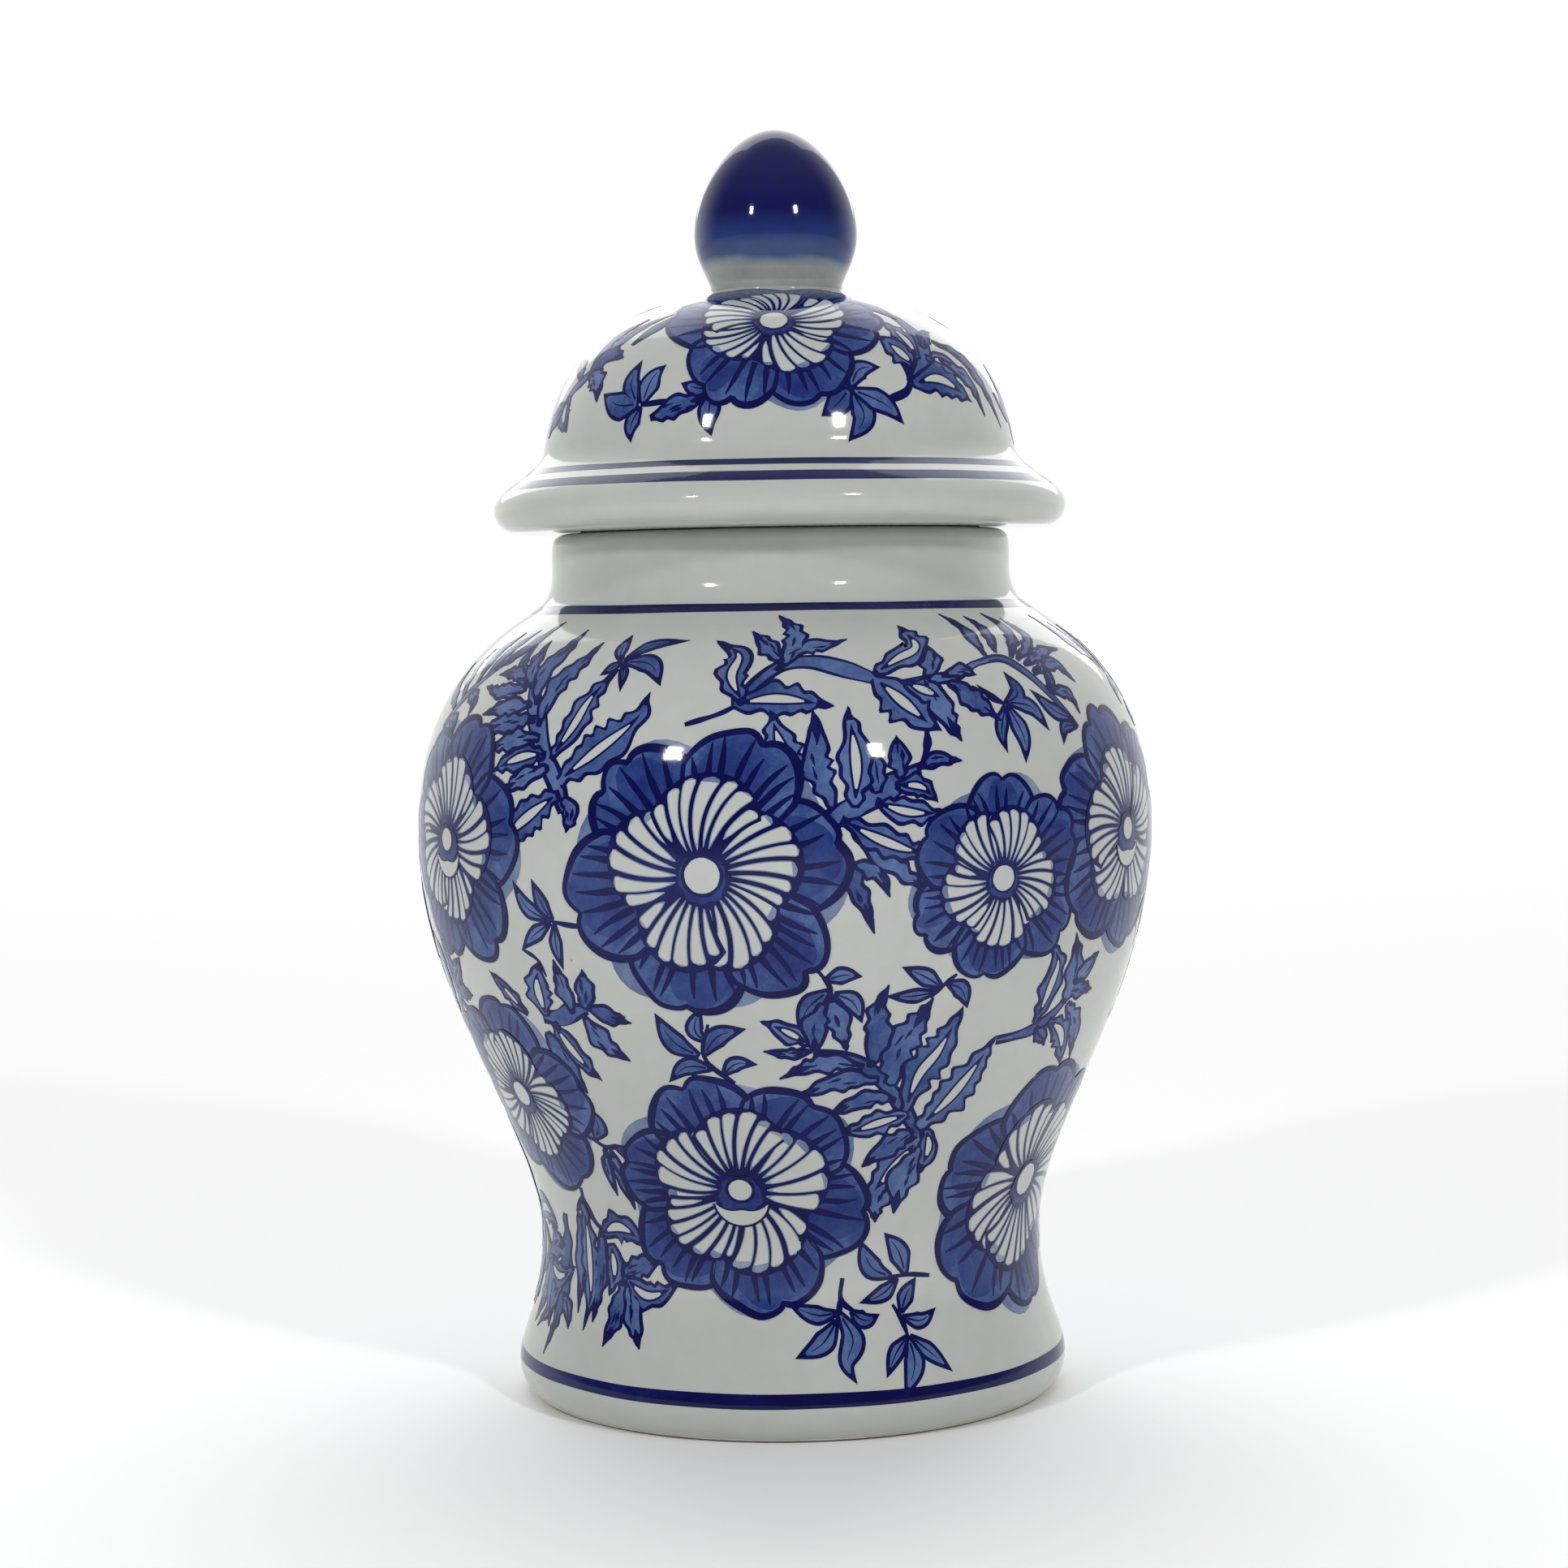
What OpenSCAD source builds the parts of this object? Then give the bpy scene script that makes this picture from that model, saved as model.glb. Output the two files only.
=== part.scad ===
// Lidded porcelain jar: a baluster jar on a flared foot, a domed lid with a
// wide brim and a locating ring under it, and an egg-shaped finial.
// Origin at the middle of the foot, on the surface that the jar stands on.

/* [Jar] */
// Height of the jar without its lid
jar_height = 174; // [140:1:220]
// Outer diameter at the widest part of the belly
belly_diameter = 148.6; // [136:0.2:170]
// Outer diameter at the waist, just above the foot
waist_diameter = 101.4; // [90:0.2:106]
// Outer diameter of the flared foot
foot_diameter = 111.6; // [108:0.2:130]
// Outer diameter at the root of the neck
neck_diameter = 96.4; // [90:0.2:104]
// Thickness of the jar's wall
jar_wall = 4.2; // [3.4:0.1:5]

/* [Lid] */
// Outer diameter of the lid's brim
brim_diameter = 115.8; // [112:0.2:130]
// Height of the lid from its seat to the top of the dome
lid_height = 48.4; // [44:0.2:60]
// Thickness of the lid's wall
lid_wall = 4; // [3:0.1:5]
// Gap all round between the locating ring and the mouth
ring_gap = 0.9; // [0.6:0.1:1.5]
// Depth that the locating ring reaches into the neck
ring_depth = 11; // [8:0.5:14]

/* [Finial] */
// Largest diameter of the egg-shaped finial
finial_diameter = 32.9; // [30:0.1:40]
// Height of the finial above the dome
finial_height = 32.6; // [30:0.1:44]

/* [Hidden] */
$fn = 96;

// Steps along each curved stretch of an outline
steps = 14;

// Jar: radii and levels of the outline's turning points
belly_r = belly_diameter / 2;
waist_r = waist_diameter / 2;
foot_r = foot_diameter / 2;
neck_r = neck_diameter / 2;
foot_level = 0.0374 * jar_height;
waist_level = 0.19 * jar_height;
belly_level = 0.661 * jar_height;
shoulder_level = 0.921 * jar_height;

// How far the outline's curves are pulled up or down at those points
foot_pull = 0.035 * jar_height;
waist_pull_down = 0.088 * jar_height;
waist_pull_up = 0.119 * jar_height;
belly_pull_down = 0.209 * jar_height;
belly_pull_up = 0.197 * jar_height;
shoulder_pull = [1.9, -3];

// Foot: the contact ring and the hollow under the base
contact_inset = 4.8;
contact_r = foot_r - contact_inset;
contact_width = 6.5;
contact_slope = 2;
foot_hollow = 4;
base_thickness = 5;
floor_corner = 9;

// Neck: it narrows a little upward and ends in a round lip
neck_root_height = 1.3;
neck_root_step = 0.8;
neck_taper = 1.9;
lip_radius = 2.6;
inner_lip_radius = 1.2;
neck_wall = jar_wall + 0.8;
mouth_r = neck_r - neck_taper - neck_wall;
inner_shoulder_drop = 4;
inner_shoulder_bevel = 2;

// Lid: it rests on the lip with a hair of air for the glaze
seat_gap = 0.3;
seat_level = jar_height + seat_gap;
dome_level = jar_height + lid_height;
brim_r = brim_diameter / 2;
nose_radius = 4.6;
nose_level = seat_level + nose_radius;
wall_foot_r = neck_r - 0.7;
wall_foot_level = seat_level + 17;
nose_pull = 4.4;
wall_foot_pull = 5;
dome_edge = [4.4, 3.7];
dome_crown = [7.2, 2.7];
ring_r = mouth_r - ring_gap;
ring_wall = 3.4;
ring_bore = ring_r - ring_wall;
plate_level = seat_level + 6;
inner_wall_r = wall_foot_r - lid_wall;
lid_corner = 4;

// Finial: a hollow egg luted to the dome, with a vent below it
finial_r = finial_diameter / 2;
seat_r = 0.81 * finial_r;
finial_belly_level = dome_level + 0.34 * finial_height;
finial_top = dome_level + finial_height;
finial_wall = 4;
finial_core_r = seat_r - finial_wall;
finial_pinch = [0.8, 1.3];
finial_belly_pull = 5.5;
vent_r = 3;

// Point and unit direction on a cubic curve from a to d
function along(a, b, c, d, t) =
    pow(1 - t, 3) * a + 3 * pow(1 - t, 2) * t * b + 3 * (1 - t) * t * t * c + pow(t, 3) * d;
function heading(a, b, c, d, t) =
    let (v = pow(1 - t, 2) * (b - a) + 2 * (1 - t) * t * (c - b) + t * t * (d - c)) v / norm(v);

// Cubic curve as a list of points, shifted to its left by a wall's thickness
function curve(a, b, c, d, shift = 0) =
    [for (i = [0:steps])
        let (t = i / steps, h = heading(a, b, c, d, t))
            along(a, b, c, d, t) + shift * [-h[1], h[0]]];

// Quarter of an ellipse about a centre, from one angle to another
function arc(centre, rx, ry, from, to, n = 8) =
    [for (i = [0:n])
        let (w = from + (to - from) * i / n) centre + [rx * cos(w), ry * sin(w)]];

function reversed(list) = [for (i = [len(list) - 1:-1:0]) list[i]];

// Stretches of the jar's outline from the foot to the root of the neck
function foot_to_waist(shift = 0) = curve(
    [foot_r, foot_level],
    [foot_r, foot_level + foot_pull],
    [waist_r, waist_level - waist_pull_down],
    [waist_r, waist_level], shift);

function waist_to_belly(shift = 0) = curve(
    [waist_r, waist_level],
    [waist_r, waist_level + waist_pull_up],
    [belly_r, belly_level - belly_pull_down],
    [belly_r, belly_level], shift);

function belly_to_neck(shift = 0) = curve(
    [belly_r, belly_level],
    [belly_r, belly_level + belly_pull_up],
    [neck_r, shoulder_level] + shoulder_pull,
    [neck_r, shoulder_level], shift);

module jar_body() {
    floor_level = foot_hollow + base_thickness;
    inner_foot_r = waist_r - jar_wall;
    neck_foot = [neck_r - neck_root_step, shoulder_level + neck_root_height];
    lip = [neck_r - neck_taper - lip_radius, jar_height - lip_radius];
    inner_shoulder = shoulder_level - inner_shoulder_drop;
    outside = concat(
        [[0, foot_hollow], [contact_r - contact_width - contact_slope, foot_hollow]],
        [[contact_r - contact_width, 0]],
        arc([contact_r, foot_level], foot_r - contact_r, foot_level, -90, 0),
        foot_to_waist(), waist_to_belly(), belly_to_neck(),
        [neck_foot],
        arc(lip, lip_radius, lip_radius, 0, 90));
    inside = concat(
        arc([mouth_r + inner_lip_radius, jar_height - inner_lip_radius],
            inner_lip_radius, inner_lip_radius, 90, 180, 4),
        [[mouth_r, inner_shoulder]],
        reversed([for (p = belly_to_neck(jar_wall))
            if (p[1] < inner_shoulder - inner_shoulder_bevel) p]),
        reversed(waist_to_belly(jar_wall)),
        arc([inner_foot_r - floor_corner, floor_level + floor_corner],
            floor_corner, floor_corner, 0, -90),
        [[0, floor_level]]);
    color("gainsboro")
        rotate_extrude()
            polygon(concat(outside, inside));
}

module lid() {
    color("gainsboro")
        rotate_extrude()
            polygon(lid_outline());
}

// Stretches of the lid's outline from the brim's nose to the finial's seat
function brim_to_wall() = curve(
    [brim_r, nose_level],
    [brim_r, nose_level + nose_pull],
    [wall_foot_r, wall_foot_level - wall_foot_pull],
    [wall_foot_r, wall_foot_level]);

function wall_to_dome(shift = 0) = curve(
    [wall_foot_r, wall_foot_level],
    [wall_foot_r - dome_edge[0], dome_level - dome_edge[1]],
    [seat_r + dome_crown[0], dome_level - dome_crown[1]],
    [seat_r, dome_level], shift);

function lid_outline() = concat(
    [[ring_bore, seat_level]],
    arc([brim_r - nose_radius, nose_level], nose_radius, nose_radius, -90, 0),
    brim_to_wall(), wall_to_dome(),
    [[vent_r, dome_level], [vent_r, dome_level - lid_wall]],
    reversed(wall_to_dome(lid_wall)),
    arc([inner_wall_r - lid_corner, plate_level + lid_corner],
        lid_corner, lid_corner, 0, -90, 6),
    [[ring_bore, plate_level]]);

module lid_ring() {
    color("whitesmoke")
        translate([0, 0, seat_level - ring_depth])
            difference() {
                cylinder(r = ring_r, h = ring_depth);
                translate([0, 0, -1])
                    cylinder(r = ring_bore, h = ring_depth + 2);
            }
}

// Stretches of the finial's outline from its seat to its tip
function seat_to_egg(shift = 0) = curve(
    [seat_r, dome_level],
    [seat_r - finial_pinch[0], dome_level + finial_pinch[1]],
    [finial_r, finial_belly_level - finial_belly_pull],
    [finial_r, finial_belly_level], shift);

function egg_to_tip(shift = 0) = curve(
    [finial_r, finial_belly_level],
    [finial_r, finial_belly_level + 0.5 * (finial_top - finial_belly_level)],
    [finial_r / 2, finial_top],
    [0, finial_top], shift);

module finial() {
    core = concat(seat_to_egg(finial_wall), egg_to_tip(finial_wall));
    color("navy")
        rotate_extrude()
            polygon(concat(
                seat_to_egg(), egg_to_tip(),
                reversed([for (p = core) if (p[1] > dome_level + 1) p]),
                [[finial_core_r, dome_level]]));
}

jar_body();
lid();
lid_ring();
finial();
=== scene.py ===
"""Lidded porcelain jar, painted in cobalt blue under a clear glaze.

The vessel, the lid and the finial are turned from the CAD nodes' own outlines. The painting is
made of brush strokes: thin closed slips of colour that lie on the glaze and share its normals.
"""

import math
import random

import bpy
import numpy as np
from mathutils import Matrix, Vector


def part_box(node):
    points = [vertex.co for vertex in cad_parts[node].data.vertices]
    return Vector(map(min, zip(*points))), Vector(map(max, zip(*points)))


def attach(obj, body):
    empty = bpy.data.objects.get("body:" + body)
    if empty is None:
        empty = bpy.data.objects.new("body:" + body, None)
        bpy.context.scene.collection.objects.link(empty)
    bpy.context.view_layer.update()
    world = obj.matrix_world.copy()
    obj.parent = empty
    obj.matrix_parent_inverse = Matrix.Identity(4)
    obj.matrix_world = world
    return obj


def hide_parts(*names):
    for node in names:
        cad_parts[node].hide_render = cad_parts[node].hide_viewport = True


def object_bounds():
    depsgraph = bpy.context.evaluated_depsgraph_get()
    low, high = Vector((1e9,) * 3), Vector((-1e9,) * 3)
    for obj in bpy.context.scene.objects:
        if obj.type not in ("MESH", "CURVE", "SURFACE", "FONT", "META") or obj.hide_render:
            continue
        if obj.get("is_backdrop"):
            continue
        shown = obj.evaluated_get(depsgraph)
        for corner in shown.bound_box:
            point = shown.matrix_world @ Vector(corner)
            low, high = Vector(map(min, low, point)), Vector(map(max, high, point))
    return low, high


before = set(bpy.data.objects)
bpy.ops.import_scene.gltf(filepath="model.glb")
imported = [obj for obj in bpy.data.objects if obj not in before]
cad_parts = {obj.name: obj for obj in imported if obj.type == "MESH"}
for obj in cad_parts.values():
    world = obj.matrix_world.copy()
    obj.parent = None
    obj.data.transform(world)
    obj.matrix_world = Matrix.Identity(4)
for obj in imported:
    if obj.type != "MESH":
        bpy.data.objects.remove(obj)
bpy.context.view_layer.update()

MM = 0.001
ROUND = 288  # facets round a turned piece
STEP = 0.9 * MM  # length of a facet along an outline
CORNER = 32  # degrees at which an outline has a corner, and isn't smoothed
CREASE = 38  # degrees at which two facets meet in a sharp edge
STRAIGHT = 0.12  # degrees below which an outline's point only divides an edge
ON_AXIS = 1e-7  # a radius that counts as none


# ---------------- outlines from the CAD


def ring_finder(tolerance=8e-6):
    """A function that gives each (radius, height) the same point as any it met within tolerance."""
    met = {}

    def ring(r, z):
        i, j = round(r / tolerance), round(z / tolerance)
        for di in (0, -1, 1):
            for dj in (0, -1, 1):
                if (i + di, j + dj) in met:
                    return met[i + di, j + dj]
        return met.setdefault((i, j), (r, z))

    return ring


def cad_outline(node):
    """The CAD node's outline as (radius, height) points, walked from ring to ring."""
    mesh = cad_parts[node].data
    ring = ring_finder()
    at = [ring(math.hypot(v.co.x, v.co.y), v.co.z) for v in mesh.vertices]
    near = {}
    for edge in mesh.edges:
        a, b = (at[i] for i in edge.vertices)
        if a != b:
            near.setdefault(a, set()).add(b)
            near.setdefault(b, set()).add(a)
    ends = [k for k, others in near.items() if len(others) == 1]
    start = min(ends or near, key=lambda k: (round(k[1], 5), k[0]))
    path, seen = [start], {start}
    while True:
        ahead = [k for k in near[path[-1]] if k not in seen]
        if not ahead:
            return without_chord_points(np.array(path))
        path.append(max(ahead) if len(path) == 1 else ahead[0])
        seen.add(path[-1])


def lengths(points):
    """How far along a line of points each of them lies."""
    return np.concatenate([[0], np.cumsum(np.hypot(*np.diff(points, axis=0).T))])


class Outline:
    """A smooth curve through (radius, height) points, measured along its length."""

    def __init__(self, points):
        self.points = np.asarray(points, float)
        self.along = lengths(self.points)
        self.length = self.along[-1]
        self.slope = np.gradient(self.points, self.along, axis=0)

    def at(self, s):
        """Radius, height and outward normal (radial, vertical) at each length s."""
        s = np.clip(np.asarray(s, float), 0, self.length)
        i = np.clip(np.searchsorted(self.along, s) - 1, 0, len(self.along) - 2)
        h = self.along[i + 1] - self.along[i]
        t = ((s - self.along[i]) / h)[..., None]
        a, b = self.points[i], self.points[i + 1]
        va, vb = (self.slope[k] * h[..., None] for k in (i, i + 1))
        point = (2 * t**3 - 3 * t**2 + 1) * a + (t**3 - 2 * t**2 + t) * va
        point += (3 * t**2 - 2 * t**3) * b + (t**3 - t**2) * vb
        way = (6 * t**2 - 6 * t) * (a - b) + (3 * t**2 - 4 * t + 1) * va + (3 * t**2 - 2 * t) * vb
        way /= np.linalg.norm(way, axis=-1, keepdims=True)
        normal = np.stack([way[..., 1], -way[..., 0]], -1)
        return point[..., 0], point[..., 1], normal

    def at_height(self, z):
        """The length at which the curve passes a height. The curve has to climb all the way."""
        s = np.linspace(0, self.length, 4000)
        return float(np.interp(z, self.at(s)[1], s))


def turning(points):
    """How far an outline turns at each of its points, in degrees. Its ends count as no turn."""
    way = np.diff(points, axis=0)
    way /= np.linalg.norm(way, axis=1, keepdims=True)
    turn = np.zeros(len(points))
    turn[1:-1] = np.degrees(np.arccos(np.clip((way[1:] * way[:-1]).sum(1), -1, 1)))
    return turn


def without_chord_points(points):
    """Drops the points that only divide a straight edge of the CAD's outline."""
    keep = turning(points) > STRAIGHT
    keep[[0, -1]] = True
    return points[keep]


# ---------------- materials


class Nodes:
    """The node tree of a material or a world, with short calls to add and join nodes."""

    def __init__(self, owner):
        owner.use_nodes = True
        self.owner, self.tree = owner, owner.node_tree

    def add(self, kind, inputs=None, **settings):
        node = self.tree.nodes.new("ShaderNode" + kind)
        for key, value in settings.items():
            setattr(node, key, value)
        for key, value in (inputs or {}).items():
            self.feed(value, node.inputs[key])
        return node

    def feed(self, value, socket):
        if isinstance(value, bpy.types.NodeSocket):
            self.tree.links.new(value, socket)
        else:
            socket.default_value = value

    def place(self):
        return self.add("TexCoord").outputs["Object"]

    def noise(self, scale, detail=3.0, rough=0.5):
        inputs = {"Vector": self.place(), "Scale": scale, "Detail": detail, "Roughness": rough}
        return self.add("TexNoise", inputs).outputs["Fac"]

    def ramp(self, value, *stops):
        """A value's colour between (place, colour) stops."""
        node = self.add("ValToRGB", {"Fac": value})
        while len(node.color_ramp.elements) < len(stops):
            node.color_ramp.elements.new(0.5)
        for element, (place, colour) in zip(node.color_ramp.elements, stops):
            element.position = place
            element.color = (*colour, 1)
        return node.outputs["Color"]

    def scaled(self, value, low, high, start=0.0, end=1.0):
        """A value's stretch from start to end, spread from low to high."""
        sockets = ("Value", "From Min", "From Max", "To Min", "To Max")
        inputs = dict(zip(sockets, (value, start, end, low, high)))
        return self.add("MapRange", inputs).outputs["Result"]

    def grey(self, level):
        return self.add("CombineColor", {0: level, 1: level, 2: level}).outputs[0]

    def maths(self, operation, a, b):
        return self.add("Math", {0: a, 1: b}, operation=operation).outputs[0]

    def mix(self, share, a, b, kind="MIX"):
        node = self.add("Mix", {0: share, 6: a, 7: b}, data_type="RGBA", blend_type=kind)
        return node.outputs[2]

    def set(self, **values):
        for key, value in values.items():
            self.feed(value, self.tree.nodes["Principled BSDF"].inputs[key.replace("_", " ")])


def new_material(name):
    """The node tree of a new material, which is its owner."""
    return Nodes(bpy.data.materials.new(name))


def glaze_surface(nodes):
    """The glaze's own gloss: faint orange-peel waves and slightly duller patches."""
    waves = nodes.noise(95.0, 2.0)
    peel = nodes.noise(520.0, 2.0)
    height = nodes.maths("ADD", waves, nodes.maths("MULTIPLY", peel, 0.12))
    bump = nodes.add("Bump", {"Strength": 0.16, "Distance": 0.0006, "Height": height})
    dull = nodes.scaled(nodes.noise(38.0, 4.0), 0.045, 0.10, 0.3, 0.75)
    nodes.set(Roughness=dull, Normal=bump.outputs["Normal"], IOR=1.43)


def glaze(name, light, dark):
    """White porcelain under glaze, with cool and warm clouds and a few iron specks."""
    nodes = new_material(name)
    cloud = nodes.ramp(nodes.noise(14.0, 3.0), (0.3, dark), (0.72, light))
    fine = nodes.scaled(nodes.noise(260.0, 2.0), 0.965, 1.0, 0.3, 0.7)
    toned = nodes.mix(1.0, cloud, nodes.grey(fine), "MULTIPLY")
    speck = nodes.add("TexVoronoi", {"Vector": nodes.place(), "Scale": 62.0})
    dot = nodes.scaled(speck.outputs["Distance"], 0.55, 0.0, 0.010, 0.024)
    nodes.set(Base_Color=nodes.mix(dot, toned, (0.16, 0.13, 0.10, 1)))
    glaze_surface(nodes)
    return nodes.owner


def cobalt(name, pale, deep, dark):
    """Cobalt wash: the stroke's own tone, pooled and streaked like thin paint on a wet brush."""
    nodes = new_material(name)
    tone = nodes.add("Attribute", attribute_name="tone").outputs["Fac"]
    pool = nodes.scaled(nodes.noise(120.0, 4.0, 0.6), -0.20, 0.20, 0.3, 0.7)
    grain = nodes.scaled(nodes.noise(900.0, 3.0, 0.7), -0.09, 0.09, 0.3, 0.7)
    wet = nodes.maths("ADD", nodes.maths("ADD", tone, pool), grain)
    shade = nodes.ramp(wet, (0.12, pale), (0.5, deep), (0.92, dark))
    nodes.set(Base_Color=shade, Specular_IOR_Level=0.3)
    glaze_surface(nodes)
    return nodes.owner


def biscuit(name):
    """Unglazed porcelain: matt, faintly grainy, with grey handling marks."""
    nodes = new_material(name)
    marks = nodes.noise(70.0, 6.0, 0.65)
    stain = nodes.ramp(marks, (0.35, (0.60, 0.54, 0.45)), (0.7, (0.78, 0.75, 0.68)))
    grit = nodes.noise(1500.0, 3.0, 0.6)
    bump = nodes.add("Bump", {"Strength": 0.35, "Distance": 0.0002, "Height": grit})
    dull = nodes.scaled(grit, 0.62, 0.85, 0.3, 0.7)
    nodes.set(Base_Color=stain, Roughness=dull, Normal=bump.outputs["Normal"])
    return nodes.owner


def finial_glaze(name, low, high):
    """Deep cobalt that thins to pale blue, and a grey at the neck: white glaze darkened as painted
    shade.
    """
    nodes = new_material(name)
    level = nodes.add("SeparateXYZ", {0: nodes.place()}).outputs["Z"]
    drift = nodes.scaled(nodes.noise(40.0, 3.0, 0.5), -0.035, 0.035, 0.3, 0.7)
    rise = nodes.maths("ADD", nodes.scaled(level, 0.0, 1.0, low, high), drift)
    pools = nodes.scaled(nodes.noise(190.0, 4.0, 0.6), 0.86, 1.08, 0.3, 0.7)
    shade = nodes.ramp(
        rise,
        # the neck's white glaze given as a darker grey: painted shade under the egg
        (0.115, (0.34, 0.36, 0.35)),
        (0.150, (0.20, 0.25, 0.31)),
        (0.185, (0.028, 0.060, 0.19)),
        (0.330, (0.010, 0.026, 0.15)),
        (0.460, (0.0010, 0.0015, 0.075)),
    )
    nodes.set(Base_Color=nodes.mix(1.0, shade, nodes.grey(pools), "MULTIPLY"))
    glaze_surface(nodes)
    return nodes.owner


WHITE = glaze("glaze_white", (0.535, 0.555, 0.52), (0.47, 0.49, 0.455))
# the inside's glaze is the white glaze made a little darker: painted shade in the hollows
SHADED_INSIDE = glaze("glaze_inside_shaded", (0.50, 0.51, 0.48), (0.44, 0.45, 0.42))
BARE = biscuit("biscuit")
LINE = cobalt("cobalt_line", (0.006, 0.012, 0.12), (0.001, 0.002, 0.07), (0.0004, 0.0007, 0.045))
WASH = cobalt("cobalt_wash", (0.092, 0.158, 0.33), (0.026, 0.06, 0.208), (0.005, 0.016, 0.14))
SPILL = cobalt("cobalt_spill", (0.27, 0.33, 0.41), (0.14, 0.20, 0.32), (0.06, 0.10, 0.23))


# ---------------- turned pieces


def add_object(name, data):
    obj = bpy.data.objects.new(name, data)
    bpy.context.scene.collection.objects.link(obj)
    return obj


def add_mesh(name, verts, faces, materials, kinds):
    """A smooth mesh. kinds holds each face's place in materials."""
    mesh = bpy.data.meshes.new(name)
    mesh.from_pydata(verts, [], faces)
    for material in materials:
        mesh.materials.append(material)
    mesh.polygons.foreach_set("material_index", kinds)
    mesh.shade_smooth()
    mesh.update()
    return add_object(name, mesh)


def join_frame(obj, body, node):
    """Hangs a piece on its body, in the CAD node's place."""
    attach(obj, body)
    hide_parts(node)


def spaced(outline, step=STEP):
    """An outline with points added until no gap is longer than step. Corners stay sharp."""
    cuts = [0, *np.flatnonzero(turning(outline) > CORNER), len(outline) - 1]
    out = []
    for a, b in zip(cuts, cuts[1:]):
        run = Outline(outline[a : b + 1])
        s = np.linspace(0, run.length, max(2, math.ceil(run.length / step) + 1))[:-1]
        if b - a > 1:
            r, z, _ = run.at(s)
            out += list(zip(r, z))
        else:
            t = (s / run.length)[:, None]
            out += [tuple(p) for p in outline[a] * (1 - t) + outline[b] * t]
    return np.array(out + [tuple(outline[-1])])


def turned(name, outline, choose, materials, closed=False):
    """A solid of revolution. choose(z, share) gives the material of a facet's middle, from its
    height and from how far round the outline it comes."""
    path = spaced(np.vstack([outline, outline[:1]]))[:-1] if closed else spaced(outline)
    on_axis = path[:, 0] < ON_AXIS
    angle = np.linspace(0, 2 * math.pi, ROUND, endpoint=False)
    verts, rings = [], []
    for (r, z), single in zip(path, on_axis):
        turn = [0.0] if single else angle
        rings.append(range(len(verts), len(verts) + len(turn)))
        verts += [(r * math.sin(a), -r * math.cos(a), z) for a in turn]
    faces, kinds = [], []
    count = len(path)
    for k in range(count if closed else count - 1):
        a, b = rings[k], rings[(k + 1) % count]
        kind = choose((path[k, 1] + path[(k + 1) % count, 1]) / 2, k / count)
        for i in range(ROUND):
            j = (i + 1) % ROUND
            if len(a) == 1:
                face = (a[0], b[j], b[i])
            elif len(b) == 1:
                face = (a[i], a[j], b[0])
            else:
                face = (a[i], a[j], b[j], b[i])
            faces.append(face)
            kinds.append(kind)
    obj = add_mesh(name, verts, faces, materials, kinds)
    obj.data.set_sharp_from_angle(angle=math.radians(CREASE))
    return obj


def to_axis(outline):
    """Closes an outline onto the axis at both ends."""
    first, last = outline[0], outline[-1]
    head = [] if first[0] < ON_AXIS else [(0.0, first[1])]
    tail = [] if last[0] < ON_AXIS else [(0.0, last[1])]
    return np.array(head + [tuple(p) for p in outline] + tail)


# ---------------- brush strokes

SUNK = 0.12  # mm that a stroke's underside lies inside the wall
GRAIN = 1.3  # mm between a stroke's points
SPILL_INK, WASH_INK, LINE_INK, PALE_INK = range(4)
INKS = (SPILL, WASH, LINE, WHITE)
# mm from the wall to the layers of a stroke, and to those of a flower
LIFT = {"spill": 0.013, "line": 0.026, "fill": 0.036, "slot": 0.046, "pale": 0.056}
PETALS, HEART, FANS, EYE = 0.140, 0.226, 0.238, 0.354
TIER = 0.034  # mm from one layer of leaves to the next
THIN = 0.04  # mm, half of the finest line
TILES = 3  # tiles along a side of a piece's texture layout
TILE_EDGE = 0.02  # the share of a tile that stays empty at each edge


def smooth(points, step=GRAIN):
    """Even points along a rounded curve through the given ones."""
    p = np.asarray(points, float)
    if len(p) == 2:
        count = max(2, math.ceil(np.linalg.norm(p[1] - p[0]) / step) + 1)
        return p[0] + (p[1] - p[0]) * np.linspace(0, 1, count)[:, None]
    p = np.vstack([2 * p[0] - p[1], p, 2 * p[-1] - p[-2]])
    t = np.linspace(0, 1, 8, endpoint=False)[:, None]
    runs = []
    for a, b, c, d in zip(p, p[1:], p[2:], p[3:]):
        bend = 2 * a - 5 * b + 4 * c - d
        twist = 3 * b - a - 3 * c + d
        runs.append(0.5 * (2 * b + (c - a) * t + bend * t**2 + twist * t**3))
    line = np.vstack(runs + [p[-2:-1]])
    along = lengths(line)
    count = max(3, math.ceil(along[-1] / step) + 1)
    even = np.linspace(0, along[-1], count)
    return np.stack([np.interp(even, along, line[:, k]) for k in (0, 1)], -1)


def across(line):
    """The unit direction to the left of a line at each of its points."""
    way = np.gradient(line, axis=0)
    way /= np.linalg.norm(way, axis=1, keepdims=True)
    return np.stack([-way[:, 1], way[:, 0]], -1)


class Wall:
    """A turned piece's outer face, as a sheet to paint on."""

    def __init__(self, outline, body, node):
        self.curve = Outline(spaced(outline))
        self.body, self.node = body, node


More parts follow.
